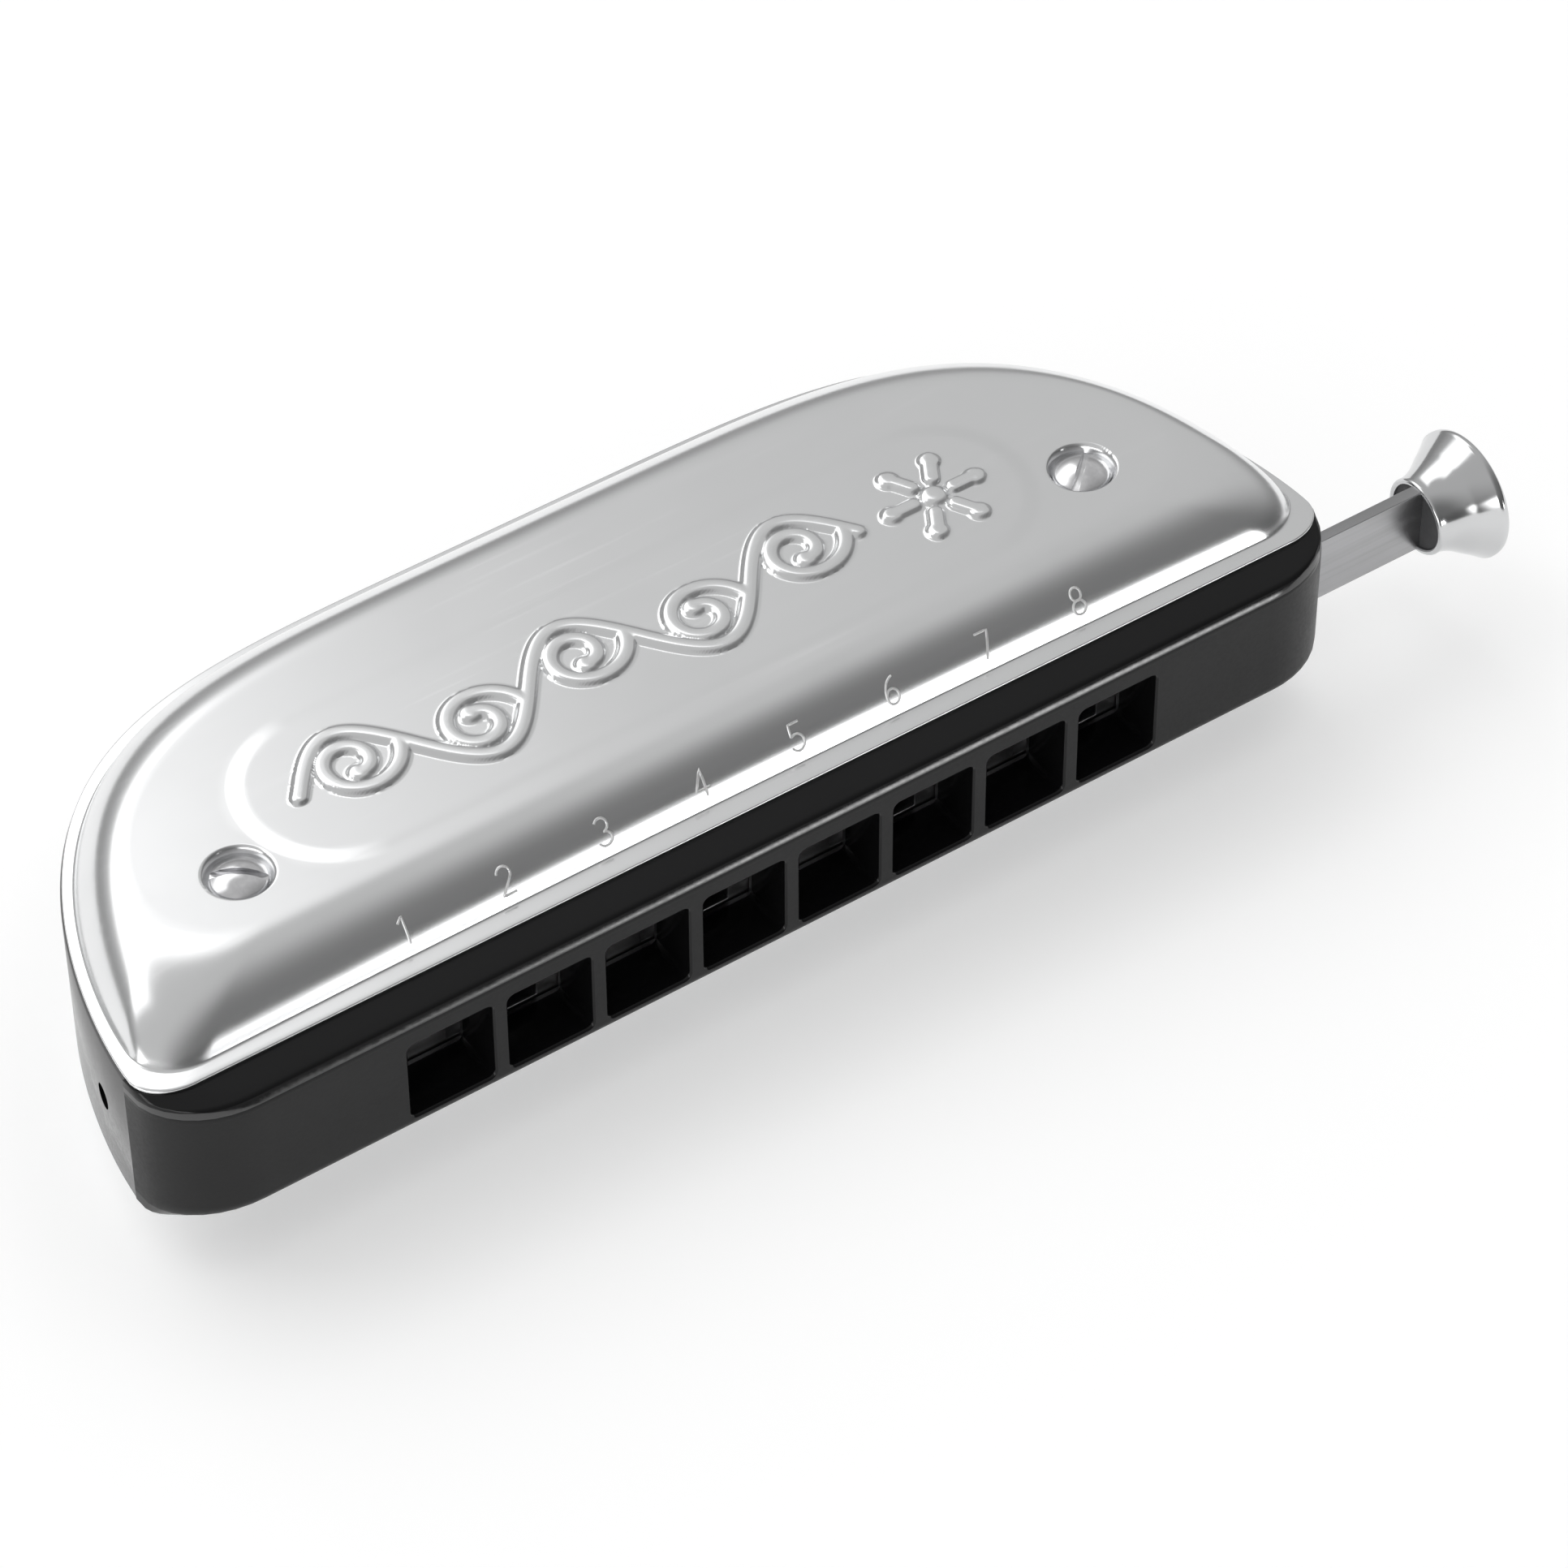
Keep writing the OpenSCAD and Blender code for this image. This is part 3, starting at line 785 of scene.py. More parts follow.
def make_mouthpiece(materials):
    """The bar with its holes and pockets. materials are the gloss, satin and lip finishes."""
    rings = mouthpiece_rings()
    obj = loft("mouthpiece_body", rings)
    for material in materials:
        obj.data.materials.append(material)
    finishes = [finish for _, _, finish in mouth_section()][1:]
    for i, face in enumerate(obj.data.polygons):
        ring = i // len(rings[0])
        face.material_index = finishes[ring] if ring < len(finishes) else GLOSS
    cut(outward(obj), *[hole_cutter(i) for i in range(HOLES)])
    cut(obj, box("pocket", (POCKET_LEFT, POCKET_FRONT, ROW_Z - POCKET_HALF),
                 (POCKET_RIGHT, SEAM_Y + 1, ROW_Z + POCKET_HALF)))
    half_t = (slide_high.y - slide_low.y) / 2 + SLIDE_GAP
    half_h = BAR_H / 2 + SLIDE_GAP
    cut(obj, box("slot", (POCKET_RIGHT - 1, SLIDE_Y - half_t, ROW_Z - half_h),
                 (HALF_LEN + 5, SLIDE_Y + half_t, ROW_Z + half_h)))
    cut(obj, spring_bore_cutter())
    pin_low, pin_high = box_mm("spring_guide_pin")
    cut(obj, bore((pin_high.z - pin_low.z) / 2, PIN_HOLE_DEEP, (pin_low.x, SLIDE_Y, ROW_Z), "X", 32))
    return smooth(outward(obj), 32)


COMB_EDGE_R = 0.2
REED_RECESS = 6.0
RIM_W = 2.2
RECESS_FRONT = -14.6
WEB_HALF = 0.6
CHANNEL_TOP = 4.6
CELL_W = 3.6
CELL_DX = 2.3
CELL_FRONT = -13.5
LONGEST_CELL = 27.0
CELL_STEP = 1.5
END_HOLE_Y = -10.5
END_HOLE_R = 1.2
END_HOLE_DEEP = 3
# Outline points nearer than this to a straight front edge are left out
SEAM_CLEAR = 0.05


def comb_ring(stations, grow, height, front):
    """Outline of the comb from the seam back, as one closed ring."""
    line = [(x, y) for x, y in stations.outline(0, grow=grow) if y > front + SEAM_CLEAR]
    line = [(HALF_LEN + grow, front)] + line + [(-HALF_LEN - grow, front)]
    return [(x, y, MID_Z + height) for x, y in line]


def make_comb():
    stations = Stations(BODY_POINTS)
    half = [(-COMB_EDGE_R, COMB_HALF), (-COMB_EDGE_R * 0.3, COMB_HALF - COMB_EDGE_R * 0.3),
            (0.0, COMB_HALF - COMB_EDGE_R)]
    section = [(g, -z) for g, z in half] + half[::-1]
    obj = outward(loft("comb_body", [comb_ring(stations, END_PROUD + g, z, SEAM_Y) for g, z in section]))
    recess = [(x, y) for x, y in Stations(RECESS_POINTS).outline(RIM_W) if y > RECESS_FRONT + SEAM_CLEAR]
    edge = max(abs(recess[0][0]), abs(recess[-1][0]))
    recess = [(edge, RECESS_FRONT)] + recess + [(-edge, RECESS_FRONT)]
    recesses, channels, cells = [], [], []
    for side in (-1, 1):
        span = sorted((side * REED_RECESS, side * (COMB_HALF + 1)))
        recesses.append(loft("cutter", [[(x, y, MID_Z + z) for x, y in recess] for z in span]))
        for i in range(HOLES):
            low, high = sorted((side * WEB_HALF, side * CHANNEL_TOP))
            channels.append(box("cutter", (hole_x(i) - WINDOW_W / 2, SEAM_Y - 1, MID_Z + low),
                                (hole_x(i) + WINDOW_W / 2, CELL_FRONT + 1, MID_Z + high)))
            low, high = sorted((side * WEB_HALF, side * (REED_RECESS + 0.5)))
            for x in (hole_x(i) - CELL_DX, hole_x(i) + CELL_DX):
                cells.append(box("cutter", (x - CELL_W / 2, CELL_FRONT, MID_Z + low),
                                 (x + CELL_W / 2, CELL_FRONT + LONGEST_CELL - CELL_STEP * i, MID_Z + high)))
    bores = [bore(SLEEVE_R + BORE_GAP, 20, (x, SCREW_Y, MID_Z - 10), "Z") for x in (-SCREW_X, SCREW_X)]
    bores.append(bore(END_HOLE_R, END_HOLE_DEEP + 1, (-HALF_LEN - 1, END_HOLE_Y, ROW_Z), "X", 40))
    for cutters in (recesses, cells, channels, bores):
        cut(obj, *cutters)
    cut(obj, spring_bore_cutter())
    return smooth(outward(obj), 30)


# ---- slide, button and spring


def make_slide():
    """Slide strip with staggered windows, running out into the narrower bar."""
    top, low = slide_high.z, slide_low.z
    bar_top, bar_low = ROW_Z + BAR_H / 2, ROW_Z - BAR_H / 2
    loop = [(slide_low.x, low), (SHOULDER_X, low), (SHOULDER_X, bar_low), (slide_high.x, bar_low),
            (slide_high.x, bar_top), (SHOULDER_X, bar_top), (SHOULDER_X, top), (slide_low.x, top)]
    rings = [[(x, y, z) for x, z in loop] for y in (slide_high.y, slide_low.y)]
    obj = outward(loft("slide_bar", rings))
    windows = []
    for i in range(HOLES):
        up = WINDOW_DZ if i % 2 == 0 else -WINDOW_DZ
        for x, dz in ((hole_x(i), up), (hole_x(i) + TRAVEL, -up)):
            windows.append(box("cutter", (x - WINDOW_W / 2, slide_low.y - 1, ROW_Z + dz - WINDOW_H / 2),
                               (x + WINDOW_W / 2, slide_high.y + 1, ROW_Z + dz + WINDOW_H / 2)))
    cut(obj, *windows)
    return smooth(soften(outward(obj), 0.12, 3, 35), 40)


NECK_R = 3.85
NECK_BEAD_R = 0.3
NECK_DISH = 0.35
DISH_R = NECK_R - 0.75
WAIST_IN = 0.14
WAIST_SHARE = 1.6
FLARE_X = 0.34
FLARE_STEPS = 30
RIM_X = 5.5
RIM_ROUND = 0.55
FLARE_POWER = 1.5


def make_button():
    """Trumpet-shaped button with a beaded, slightly dished neck face."""
    radius = (button_high.z - button_low.z) / 2
    total = button_high.x - button_low.x
    profile = [(0.0, NECK_DISH), (DISH_R, NECK_DISH), (DISH_R + 0.13, NECK_DISH - 0.04)]
    for a in spaced(-pi / 2, pi / 2, 10):
        profile.append((NECK_R - NECK_BEAD_R * (1 - sin(a)), NECK_BEAD_R * (1 - cos(a))))
    for t in spaced(0, 1, FLARE_STEPS):
        waist = WAIST_IN * sin(pi * min(WAIST_SHARE * t, 1))
        flare = NECK_R - waist + (radius - NECK_R) * t ** FLARE_POWER
        profile.append((flare, FLARE_X + (RIM_X - FLARE_X) * t))
    round_x = RIM_X + 0.15 + 0.17 * RIM_ROUND
    for a in spaced(radians(-10), pi / 2, 10):
        profile.append((radius - RIM_ROUND * (1 - cos(a)), round_x + RIM_ROUND * sin(a)))
    edge_r, edge_x = profile[-1]
    for t in spaced(0, 1, 12):
        profile.append((edge_r * (1 - t), edge_x + (total - edge_x) * sin(t * pi / 2)))
    obj = outward(lathe("slide_button_cap", profile, (button_low.x, SLIDE_Y, ROW_Z), "X", 128))
    cut(obj, box("socket", (button_low.x - 1, slide_low.y, ROW_Z - BAR_H / 2),
                 (slide_high.x, slide_high.y, ROW_Z + BAR_H / 2)))
    return smooth(outward(obj), 40)


SPRING_TURNS = 7
SPRING_CROWD = 0.25
WIRE_R = 0.22


def make_spring():
    length = spring_high.x - spring_low.x - 2 * WIRE_R
    radius = (spring_high.z - spring_low.z) / 2 - WIRE_R
    path = []
    steps = 24 * SPRING_TURNS
    for k in range(steps + 1):
        share = k / steps
        # The turns crowd together a little towards both ends
        x = spring_low.x + WIRE_R + length * (share + (smoothstep(0, 1, share) - share) * SPRING_CROWD)
        a = 2 * pi * SPRING_TURNS * share
        path.append((x, SLIDE_Y + radius * cos(a), ROW_Z + radius * sin(a)))
    return smooth(outward(tubes("return_spring", [path], WIRE_R, 10)), 60)


# ---- screws


SHANK_CHAMFER = 0.2
HEAD_CHAMFER = 0.08
SEAT_GAP = 0.02
NUT_BORE_GAP = 0.05
NUT_BORE_DROP = 8.7
DOME_STEPS = 16


def make_screw(name, x, under, slot_turn):
    """Domed slotted screw, or the sleeve nut below when under is true."""
    seat = nut_low.z + HEAD_H if under else screw_high.z - HEAD_H
    top = nut_low.z if under else screw_high.z
    dome = HEAD_H - HEAD_EDGE
    bend = (HEAD_R ** 2 + dome ** 2) / (2 * dome)
    shank_r = SLEEVE_R if under else SHANK_R
    length = (nut_high.z - seat) if under else (seat - screw_low.z)
    profile = [(shank_r - SHANK_CHAMFER, -length), (shank_r, SHANK_CHAMFER - length), (shank_r, -SEAT_GAP),
               (HEAD_R - HEAD_CHAMFER, -SEAT_GAP), (HEAD_R, HEAD_CHAMFER - SEAT_GAP)]
    for k in range(DOME_STEPS + 1):
        a = asin(HEAD_R / bend) * (1 - k / DOME_STEPS)
        profile.append((bend * sin(a), HEAD_H - bend + bend * cos(a)))
    obj = outward(lathe(name, profile, (x, SCREW_Y, seat), "-Z" if under else "Z", 96))
    blade = box("blade", (-4, -SLOT_W / 2, -SLOT_DEPTH), (4, SLOT_W / 2, 3))
    flip = Matrix.Rotation(pi, 4, "X") if under else Matrix.Identity(4)
    turn = Matrix.Rotation(radians(slot_turn), 4, "Z")
    blade.data.transform(Matrix.Translation((x * MM, SCREW_Y * MM, top * MM)) @ turn @ flip)
    cut(obj, blade)
    if under:
        cut(obj, bore(SHANK_R + NUT_BORE_GAP, 12, (x, SCREW_Y, MID_Z - NUT_BORE_DROP), "Z"))
    return smooth(soften(outward(obj), 0.06, 2, 40), 40)


# ---- hole numbers


def bow(cx, cy, rx, ry, start, end, count=10):
    """Points along a stretch of an ellipse, between two angles in degrees."""
    out = []
    for k in range(count + 1):
        a = radians(start + (end - start) * k / count)
        out.append((cx + rx * cos(a), cy + ry * sin(a)))
    return out


# Strokes of each figure in a cell 1 wide and 1.7 high
FIGURES = [
    [[(0.15, 1.35), (0.5, 1.7), (0.5, 0.0)]],
    [bow(0.5, 1.25, 0.42, 0.45, 170, -35) + [(0.1, 0.0), (0.95, 0.0)]],
    [bow(0.45, 1.27, 0.4, 0.43, 150, -80) + bow(0.45, 0.42, 0.45, 0.42, 80, -155)],
    [[(0.7, 0.0), (0.7, 1.7), (0.08, 0.5), (0.98, 0.5)]],
    [[(0.9, 1.7), (0.22, 1.7), (0.15, 0.95)] + bow(0.45, 0.52, 0.45, 0.52, 125, -150)],
    [bow(0.95, 0.55, 0.85, 1.15, 100, 178) + bow(0.5, 0.48, 0.4, 0.48, 180, 540, 20)],
    [[(0.08, 1.7), (0.92, 1.7), (0.4, 0.0)]],
    [bow(0.5, 1.27, 0.34, 0.41, 270, 630, 18), bow(0.5, 0.45, 0.42, 0.45, 90, 450, 20)],
]
FIGURE_W = 1.55
FIGURE_FOOT = 1.35
FIGURE_STEPS = 6
FIGURE_WIRE = 0.12


def front_run(section):
    """Length along the cover's section, inset and height, from the flange up."""
    run, out = 0.0, [(0.0, section[0][0], section[0][1])]
    for a, b in zip(section, section[1:]):
        run += hypot(b[0] - a[0], b[1] - a[1])
        out.append((run, b[0], b[1]))
    return np.array(out)


def make_numbers():
    """The figures as thin raised wires that follow the top cover's front."""
    run = front_run(cover_section(TOP_MIDDLE_H))
    paths = []
    for i, strokes in enumerate(FIGURES):
        for stroke in strokes:
            path = [(a[0] + (b[0] - a[0]) * k / FIGURE_STEPS, a[1] + (b[1] - a[1]) * k / FIGURE_STEPS)
                    for a, b in zip(stroke, stroke[1:]) for k in range(FIGURE_STEPS)]
            points = []
            for u, v in path + [stroke[-1]]:
                at = FIGURE_FOOT + v * FIGURE_W
                d = float(np.interp(at, run[:, 0], run[:, 1]))
                h = float(np.interp(at, run[:, 0], run[:, 2]))
                x = hole_x(i) + (u - 0.5) * FIGURE_W
                points.append((x, FRONT_Y + d + middle_bow(x) * bow_share(d), FLANGE_Z + h))
            paths.append(points)
    return smooth(outward(tubes("hole_numbers", paths, FIGURE_WIRE, 6)), 60)


# ---- materials


class Nodes:
    """Makes and links the nodes of one tree."""

    def node(self, kind, inputs=None, **settings):
        """A new node with its settings, whose inputs are set to numbers or linked to other nodes."""
        node = self.tree.nodes.new("ShaderNode" + kind)
        for setting, value in settings.items():
            setattr(node, setting, value)
        for socket, value in (inputs or {}).items():
            if isinstance(value, bpy.types.NodeSocket):
                self.tree.links.new(value, node.inputs[socket])
            else:
                node.inputs[socket].default_value = value
        return node

    def math(self, operation, *values):
        return self.node("Math", dict(enumerate(values)), operation=operation).outputs[0]

    def times(self, a, b):
        return self.math("MULTIPLY", a, b)

    def plus(self, a, b):
        return self.math("ADD", a, b)

    def ramp(self, value, start, end, low, high):
        """low before start, high after end and an even curve between them."""
        inputs = {"Value": value, "From Min": start, "From Max": end, "To Min": low, "To Max": high}
        return self.node("MapRange", inputs, interpolation_type="SMOOTHSTEP").outputs["Result"]


class Shader(Nodes):
    """Builds a procedural material round one Principled shader."""

    def __init__(self, name, **sockets):
        self.material = bpy.data.materials.new(name)
        self.material.use_nodes = True
        self.tree = self.material.node_tree
        self.bsdf = self.tree.nodes["Principled BSDF"]
        self.coords = self.node("TexCoord").outputs["Object"]
        for socket, value in sockets.items():
            self.bsdf.inputs[socket.replace("_", " ")].default_value = value

    def noise(self, scale, detail, stretch=(1, 1, 1)):
        vector = self.node("Mapping", {"Vector": self.coords, "Scale": stretch}).outputs["Vector"]
        inputs = {"Vector": vector, "Scale": scale, "Detail": detail, "Roughness": 0.55}
        return self.node("TexNoise", inputs).outputs["Fac"]

    def spread(self, value, low, high, start=0.3, end=0.7):
        """Stretches the middle of a noise over a range."""
        return self.ramp(value, start, end, low, high)

    def blend(self, factor, first, second):
        inputs = {"Factor": factor, "A": (*first, 1), "B": (*second, 1)}
        return self.node("Mix", inputs, data_type="RGBA").outputs["Result"]

    def connect(self, socket, value):
        self.tree.links.new(value, self.bsdf.inputs[socket])

    def finish(self, colour, roughness, relief, height):
        """Connects the surface's looks. Its relief is up to height, in metres."""
        self.connect("Base Color", colour)
        self.connect("Roughness", roughness)
        bump = self.node("Bump", {"Strength": 1.0, "Distance": height, "Height": relief})
        self.connect("Normal", bump.outputs["Normal"])
        return self.material


def polished_metal(name, tint, dark, rough, rough_high):
    """Plated metal: soft polish, faint wipe marks and hairline scratches."""
    s = Shader(name, Metallic=1.0)
    smudge = s.noise(45, 5)
    hair = s.noise(1.0, 2, (40, 1400, 1400))
    colour = s.blend(s.spread(smudge, 0, 1, 0.35, 0.75), tint, dark)
    roughness = s.plus(s.spread(smudge, rough, rough_high), s.spread(hair, 0.0, 0.05, 0.55, 0.8))
    return s.finish(colour, roughness, hair, 1.2e-6)


def brushed_metal(name, tint, dark, rough, rough_high, grain, height):
    """Drawn or milled metal with streaks along its grain."""
    s = Shader(name, Metallic=1.0)
    streak = s.noise(1.0, 3, grain)
    cloud = s.noise(90, 4)
    colour = s.blend(s.spread(s.plus(streak, cloud), 0, 1, 0.7, 1.3), tint, dark)
    return s.finish(colour, s.spread(streak, rough, rough_high), streak, height)


def moulded_plastic(name, tint, dark, rough, rough_high, grain, height, specular):
    """Moulded plastic, faintly clouded, with a fine grain."""
    s = Shader(name, Metallic=0.0, Specular_IOR_Level=specular)
    cloud = s.noise(60, 4)
    fine = s.noise(grain, 3)
    roughness = s.plus(s.spread(cloud, rough, rough_high), s.spread(fine, 0.0, 0.06))
    return s.finish(s.blend(s.spread(cloud, 0, 1), tint, dark), roughness, fine, height)


def mottled_sheet(name, tint, dark, rough, rough_high, grain, height):
    """Film or rubber with an even mottle."""
    s = Shader(name, Metallic=0.0)
    mottle = s.noise(grain, 3)
    colour = s.blend(s.spread(mottle, 0, 1), tint, dark)
    return s.finish(colour, s.spread(mottle, rough, rough_high), mottle, height)


# Colour of the clean and the dull places, then the least and most roughness
POLISHED = {
    "cover_chrome": ((0.84, 0.845, 0.85), (0.79, 0.795, 0.80), 0.17, 0.22),
    "button_chrome": ((0.66, 0.665, 0.67), (0.60, 0.605, 0.61), 0.11, 0.16),
    "number_engraving": ((0.9, 0.9, 0.9), (0.82, 0.82, 0.82), 0.42, 0.55),
}
# The same, then the grain along X, Y and Z, and its height in metres
BRUSHED = {
    "screw_steel": ((0.84, 0.84, 0.85), (0.68, 0.68, 0.69), 0.14, 0.24, (900, 900, 60), 1e-6),
    "slide_steel": ((0.43, 0.43, 0.44), (0.385, 0.385, 0.39), 0.3, 0.38, (30, 1800, 1800), 2e-6),
    "spring_steel": ((0.60, 0.60, 0.61), (0.45, 0.45, 0.46), 0.25, 0.4, (800, 800, 800), 2e-6),
    "plate_brass": ((0.80, 0.62, 0.30), (0.64, 0.47, 0.21), 0.26, 0.42, (60, 1600, 1600), 3e-6),
    "reed_brass": ((0.86, 0.70, 0.38), (0.70, 0.54, 0.26), 0.22, 0.36, (1600, 60, 1600), 3e-6),
    "rivet_brass": ((0.74, 0.57, 0.28), (0.58, 0.43, 0.2), 0.3, 0.45, (700, 700, 700), 4e-6),
    "plate_screw_brass": ((0.76, 0.59, 0.29), (0.6, 0.44, 0.2), 0.25, 0.4, (900, 900, 90), 3e-6),
}
# The same, with one scale for the grain
MOTTLED = {
    "valve_film": ((0.78, 0.79, 0.76), (0.66, 0.67, 0.64), 0.25, 0.4, 150, 2e-5),
    "bumper_rubber": ((0.035, 0.035, 0.035), (0.055, 0.054, 0.052), 0.7, 0.85, 900, 3e-5),
}
# The same, and last the specular level
MOULDED = {
    # The button's neck face is darkened here as painted shade, because it faces away from the light; its
    # mottle and roughness are its own.
    "button_core_painted_shade": ((0.10, 0.10, 0.105), (0.05, 0.05, 0.052), 0.45, 0.65, 1400, 4e-5, 0.5),
    "mouthpiece_satin": ((0.0052, 0.0052, 0.0055), (0.0040, 0.0040, 0.0043), 0.34, 0.40, 2600, 6e-6, 0.27),
    "mouthpiece_edge": ((0.0052, 0.0052, 0.0055), (0.0040, 0.0040, 0.0043), 0.11, 0.14, 1800, 2e-6, 1.0),
    "mouthpiece_gloss": ((0.0048, 0.0048, 0.0051), (0.0038, 0.0038, 0.0041), 0.12, 0.18, 1800, 2e-6, 0.27),
    "comb_plastic": ((0.0050, 0.0050, 0.0053), (0.0040, 0.0040, 0.0043), 0.14, 0.20, 1800, 2e-6, 0.8),
}
looks = {}
for build, table in ((polished_metal, POLISHED), (brushed_metal, BRUSHED),
                     (mottled_sheet, MOTTLED), (moulded_plastic, MOULDED)):
    for name, values in table.items():
        looks[name] = build(name + "_mat", *values)

# ---- pieces


def finish_button(button):
    """Chrome, with painted shade: a dark, rough core inside the bead of its neck face, which faces away
    from the light.
    """
    materials = [looks["button_chrome"], looks["button_core_painted_shade"]]
    finish_piece(button, "slide", "button_chrome", materials, "slide_button")
    for face in button.data.polygons:
        y, z = face.center.y / MM - SLIDE_Y, face.center.z / MM - ROW_Z
        # The dished neck face gets the darker material, which paints its shade.
        sunk = face.center.x < (button_low.x + NECK_DISH + 0.05) * MM
        if sunk and hypot(y, z) < DISH_R + 0.2:
            face.material_index = 1


for name, top in (("top_cover", True), ("bottom_cover", False)):
    finish_piece(make_cover(name + "_shell", top), "housing", "cover_chrome", [looks["cover_chrome"]], name)
finish_piece(make_numbers(), "housing", "cover_chrome", [looks["number_engraving"]])
mouth_looks = [looks["mouthpiece_" + finish] for finish in ("gloss", "satin", "edge")]
finish_piece(make_mouthpiece(mouth_looks), "housing", "mouthpiece_plastic", [], "mouthpiece")
finish_piece(make_comb(), "housing", "comb_plastic", [looks["comb_plastic"]], "comb")
finish_piece(make_slide(), "slide", "slide_steel", [looks["slide_steel"]], "slide")
finish_button(make_button())
spring = make_spring()
finish_piece(spring, "housing", "spring_steel", [looks["spring_steel"]], "slide_spring")
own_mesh(spring)
# The first screw and the first nut stand for the CAD nodes that hold both
for kind, node, under, turns in (("cover_screw", "cover_screws", False, (-36, 41)),
                                 ("sleeve_nut", "cover_sleeve_nuts", True, (20, 65))):
    for side, x, turn, nodes in zip(("left", "right"), (-SCREW_X, SCREW_X), turns, ([node], [])):
        screw = make_screw(f"{kind}_{side}", x, under, turn)
        finish_piece(screw, "housing", "screw_steel", [looks["screw_steel"]], *nodes)

# The CAD's own pieces that stay, each with one of the looks
CAD_LOOKS = {"slide_front_plate": "slide_steel", "slide_back_plate": "slide_steel",
             "spring_guide_pin": "spring_steel", "slide_stop_bumper": "bumper_rubber"}
for side in ("upper", "lower"):
    for piece, look in (("reed_plate", "plate_brass"), ("blow_reeds", "reed_brass"),
                        ("draw_reeds", "reed_brass"), ("reed_rivets", "rivet_brass"),
                        ("windsavers", "valve_film"), ("plate_screws", "plate_screw_brass")):
        CAD_LOOKS[f"{side}_{piece}"] = look
for node, look in CAD_LOOKS.items():
    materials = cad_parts[node].data.materials
    materials.clear()
    materials.append(looks[look])

# ---- floor, light and camera

FLOOR_HALF = 4000.0
FLOOR_GLOW = 0.32


def make_floor():
    corners = [(x * FLOOR_HALF, y * FLOOR_HALF, 0) for x, y in ((-1, -1), (1, -1), (1, 1), (-1, 1))]
    floor = make_object("floor", corners, [(0, 1, 2, 3)])
    s = Shader("floor_mat", Metallic=0.0, Specular_IOR_Level=0.2, Roughness=0.9)
    s.bsdf.inputs["Emission Color"].default_value = (1, 1, 1, 1)
    s.bsdf.inputs["Emission Strength"].default_value = FLOOR_GLOW
    cloud = s.spread(s.noise(3, 2), 0, 1)
    s.connect("Base Color", s.blend(cloud, (0.74, 0.74, 0.74), (0.72, 0.72, 0.72)))
    floor.data.materials.append(s.material)


def direction(azimuth, elevation):
    """Unit vector; azimuth is clockwise from +Y seen from above."""
    a, e = radians(azimuth), radians(elevation)
    return Vector((sin(a) * cos(e), cos(a) * cos(e), sin(e)))


def make_fill():
    """A broad lamp overhead that brightens the floor and plastic, but doesn't show in the metal."""
    size, radiance = 2.0, 0.8
    light = bpy.data.lights.new("overhead_fill", "AREA")
    light.size = size
    light.energy = radiance * pi * size * size
    obj = bpy.data.objects.new("overhead_fill", light)
    obj.location = direction(0, 88) * 1.5
    obj.rotation_euler = obj.location.to_track_quat("Z", "Y").to_euler()
    obj.visible_glossy = False
    bpy.context.scene.collection.objects.link(obj)


class Sky(Nodes):
    """World brightness as a function of azimuth (clockwise from +Y) and elevation, in degrees."""

    def __init__(self):
        world = bpy.data.worlds.new("studio")
        bpy.context.scene.world = world
        world.use_nodes = True
        self.tree = world.node_tree
        self.background = self.tree.nodes["Background"]
        self.background.inputs["Color"].default_value = (1, 1, 1, 1)
        self.direction = self.node("TexCoord").outputs["Generated"]
        self.x, y, z = self.node("SeparateXYZ", {0: self.direction}).outputs
        self.elevation = self.times(self.math("ARCSINE", z), degrees(1))
        self.azimuth = self.times(self.math("ARCTAN2", self.x, y), degrees(1))
        behind = self.math("ARCTAN2", self.times(self.x, -1), self.times(y, -1))
        self.from_front = self.times(behind, degrees(1))

    def window(self, value, low, high, soft):
        """1 between low and high, fading out over each."""
        rise = self.ramp(value, low - soft, low + soft, 0, 1)
        return self.times(rise, self.ramp(value, high - soft, high + soft, 1, 0))

    def toward(self, azimuth, elevation):
        """Cosine of the angle from a direction."""
        inputs = {0: self.direction, 1: direction(azimuth, elevation)}
        return self.node("VectorMath", inputs, operation="DOT_PRODUCT").outputs["Value"]

    def panel(self, azimuth, sides, heights, soft, power):
        across = self.window(azimuth, *sides, soft[0])
        up = self.window(self.elevation, *heights, soft[1])
        return self.times(self.times(across, up), power)


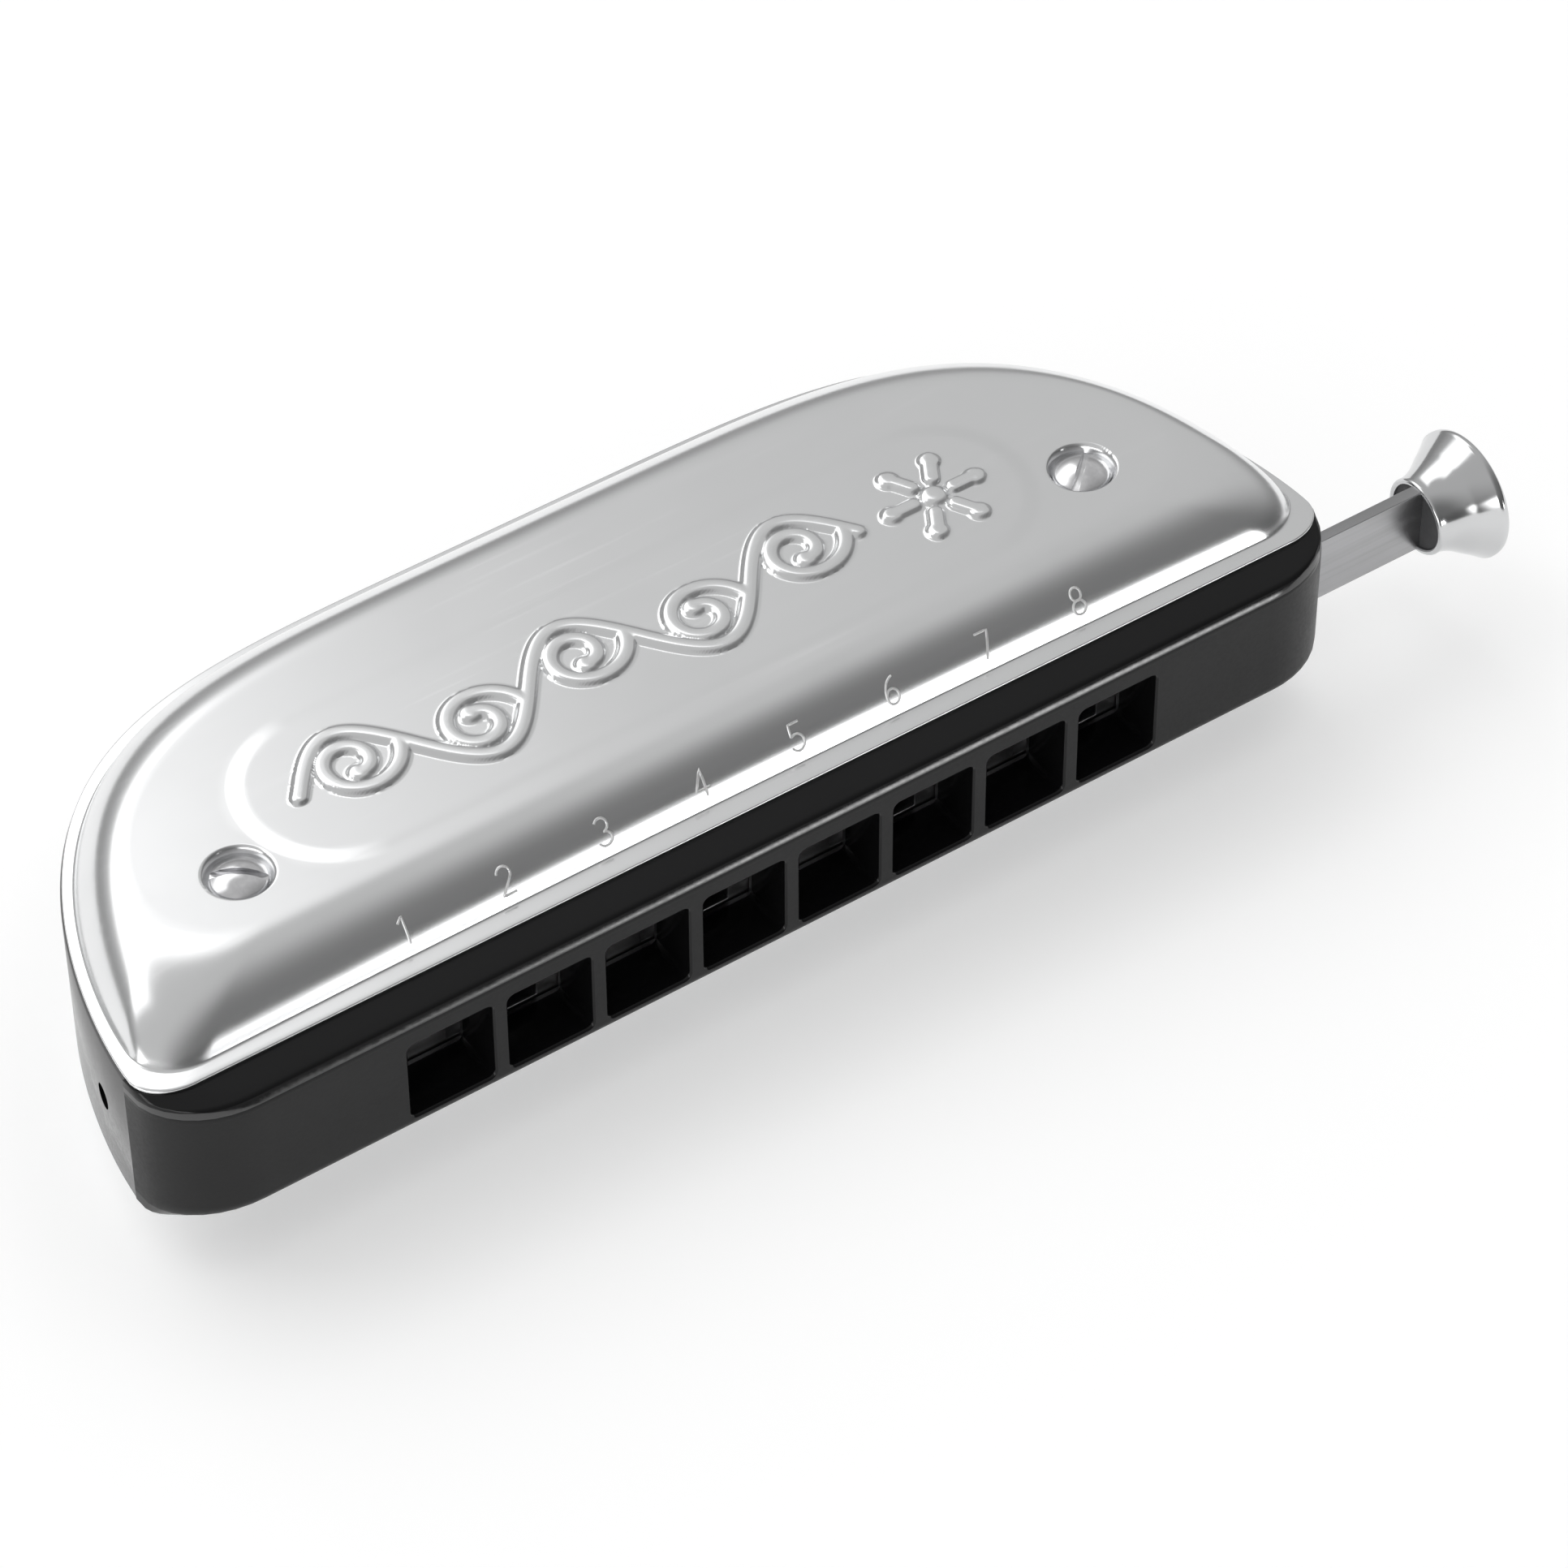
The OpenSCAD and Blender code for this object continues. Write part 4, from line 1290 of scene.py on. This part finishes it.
# Angles in degrees. The walls darken towards the front, and everywhere near the floor.
WALL_FRONT = 157
WALL_TURN = (0.05, 0.85)
WALL_BRIGHT = 0.57
WALL_DARK = 0.20
GROUND_HEIGHTS = (6, 29)
GROUND_SHADE = 0.55
# The softbox ends at the right where the direction's X reaches these
SOFTBOX_END = (0.21, 0.37)
# The strip in front hangs lower the further it is from its middle
STRIP_MIDDLE = -25.3
STRIP_SAG = 0.19
STRIP_FOOT = (-1.5, 1.5)
STRIP_TOP = (5.5, 10.0)
STRIP_POWER = 6.5


def make_world():
    """Grey studio: a large softbox behind on the left, a low strip in front and a panel at the side."""
    sky = Sky()
    walls = sky.ramp(sky.toward(WALL_FRONT, 0), *WALL_TURN, WALL_BRIGHT, WALL_DARK)
    total = sky.times(walls, sky.ramp(sky.elevation, *GROUND_HEIGHTS, GROUND_SHADE, 1.0))
    softbox = sky.panel(sky.azimuth, sides=(-62, 90), heights=(29, 62), soft=(6, 6), power=1.3)
    softbox = sky.times(softbox, sky.ramp(sky.x, *SOFTBOX_END, 1, 0))
    from_middle = sky.plus(sky.from_front, -STRIP_MIDDLE)
    height = sky.plus(sky.elevation, sky.times(sky.times(from_middle, from_middle), STRIP_SAG))
    foot = sky.ramp(sky.elevation, *STRIP_FOOT, 0, STRIP_POWER)
    strip = sky.times(foot, sky.ramp(height, *STRIP_TOP, 1, 0))
    side = sky.panel(sky.from_front, sides=(35, 100), heights=(0, 14), soft=(5, 2), power=3.0)
    for part in (softbox, strip, side):
        total = sky.plus(total, part)
    sky.tree.links.new(total, sky.background.inputs["Strength"])


def make_camera():
    camera = bpy.data.cameras.new("camera")
    camera.sensor_width = 36.0
    camera.lens = 147.76
    camera.clip_start = 0.01
    obj = bpy.data.objects.new("camera", camera)
    obj.location = (-0.21411, -0.34053, 0.42282)
    obj.rotation_euler = (radians(44.002), radians(0.243), radians(-34.268))
    bpy.context.scene.collection.objects.link(obj)
    bpy.context.scene.camera = obj


make_floor()
make_world()
make_fill()
make_camera()
bpy.context.scene.view_settings.view_transform = "Standard"
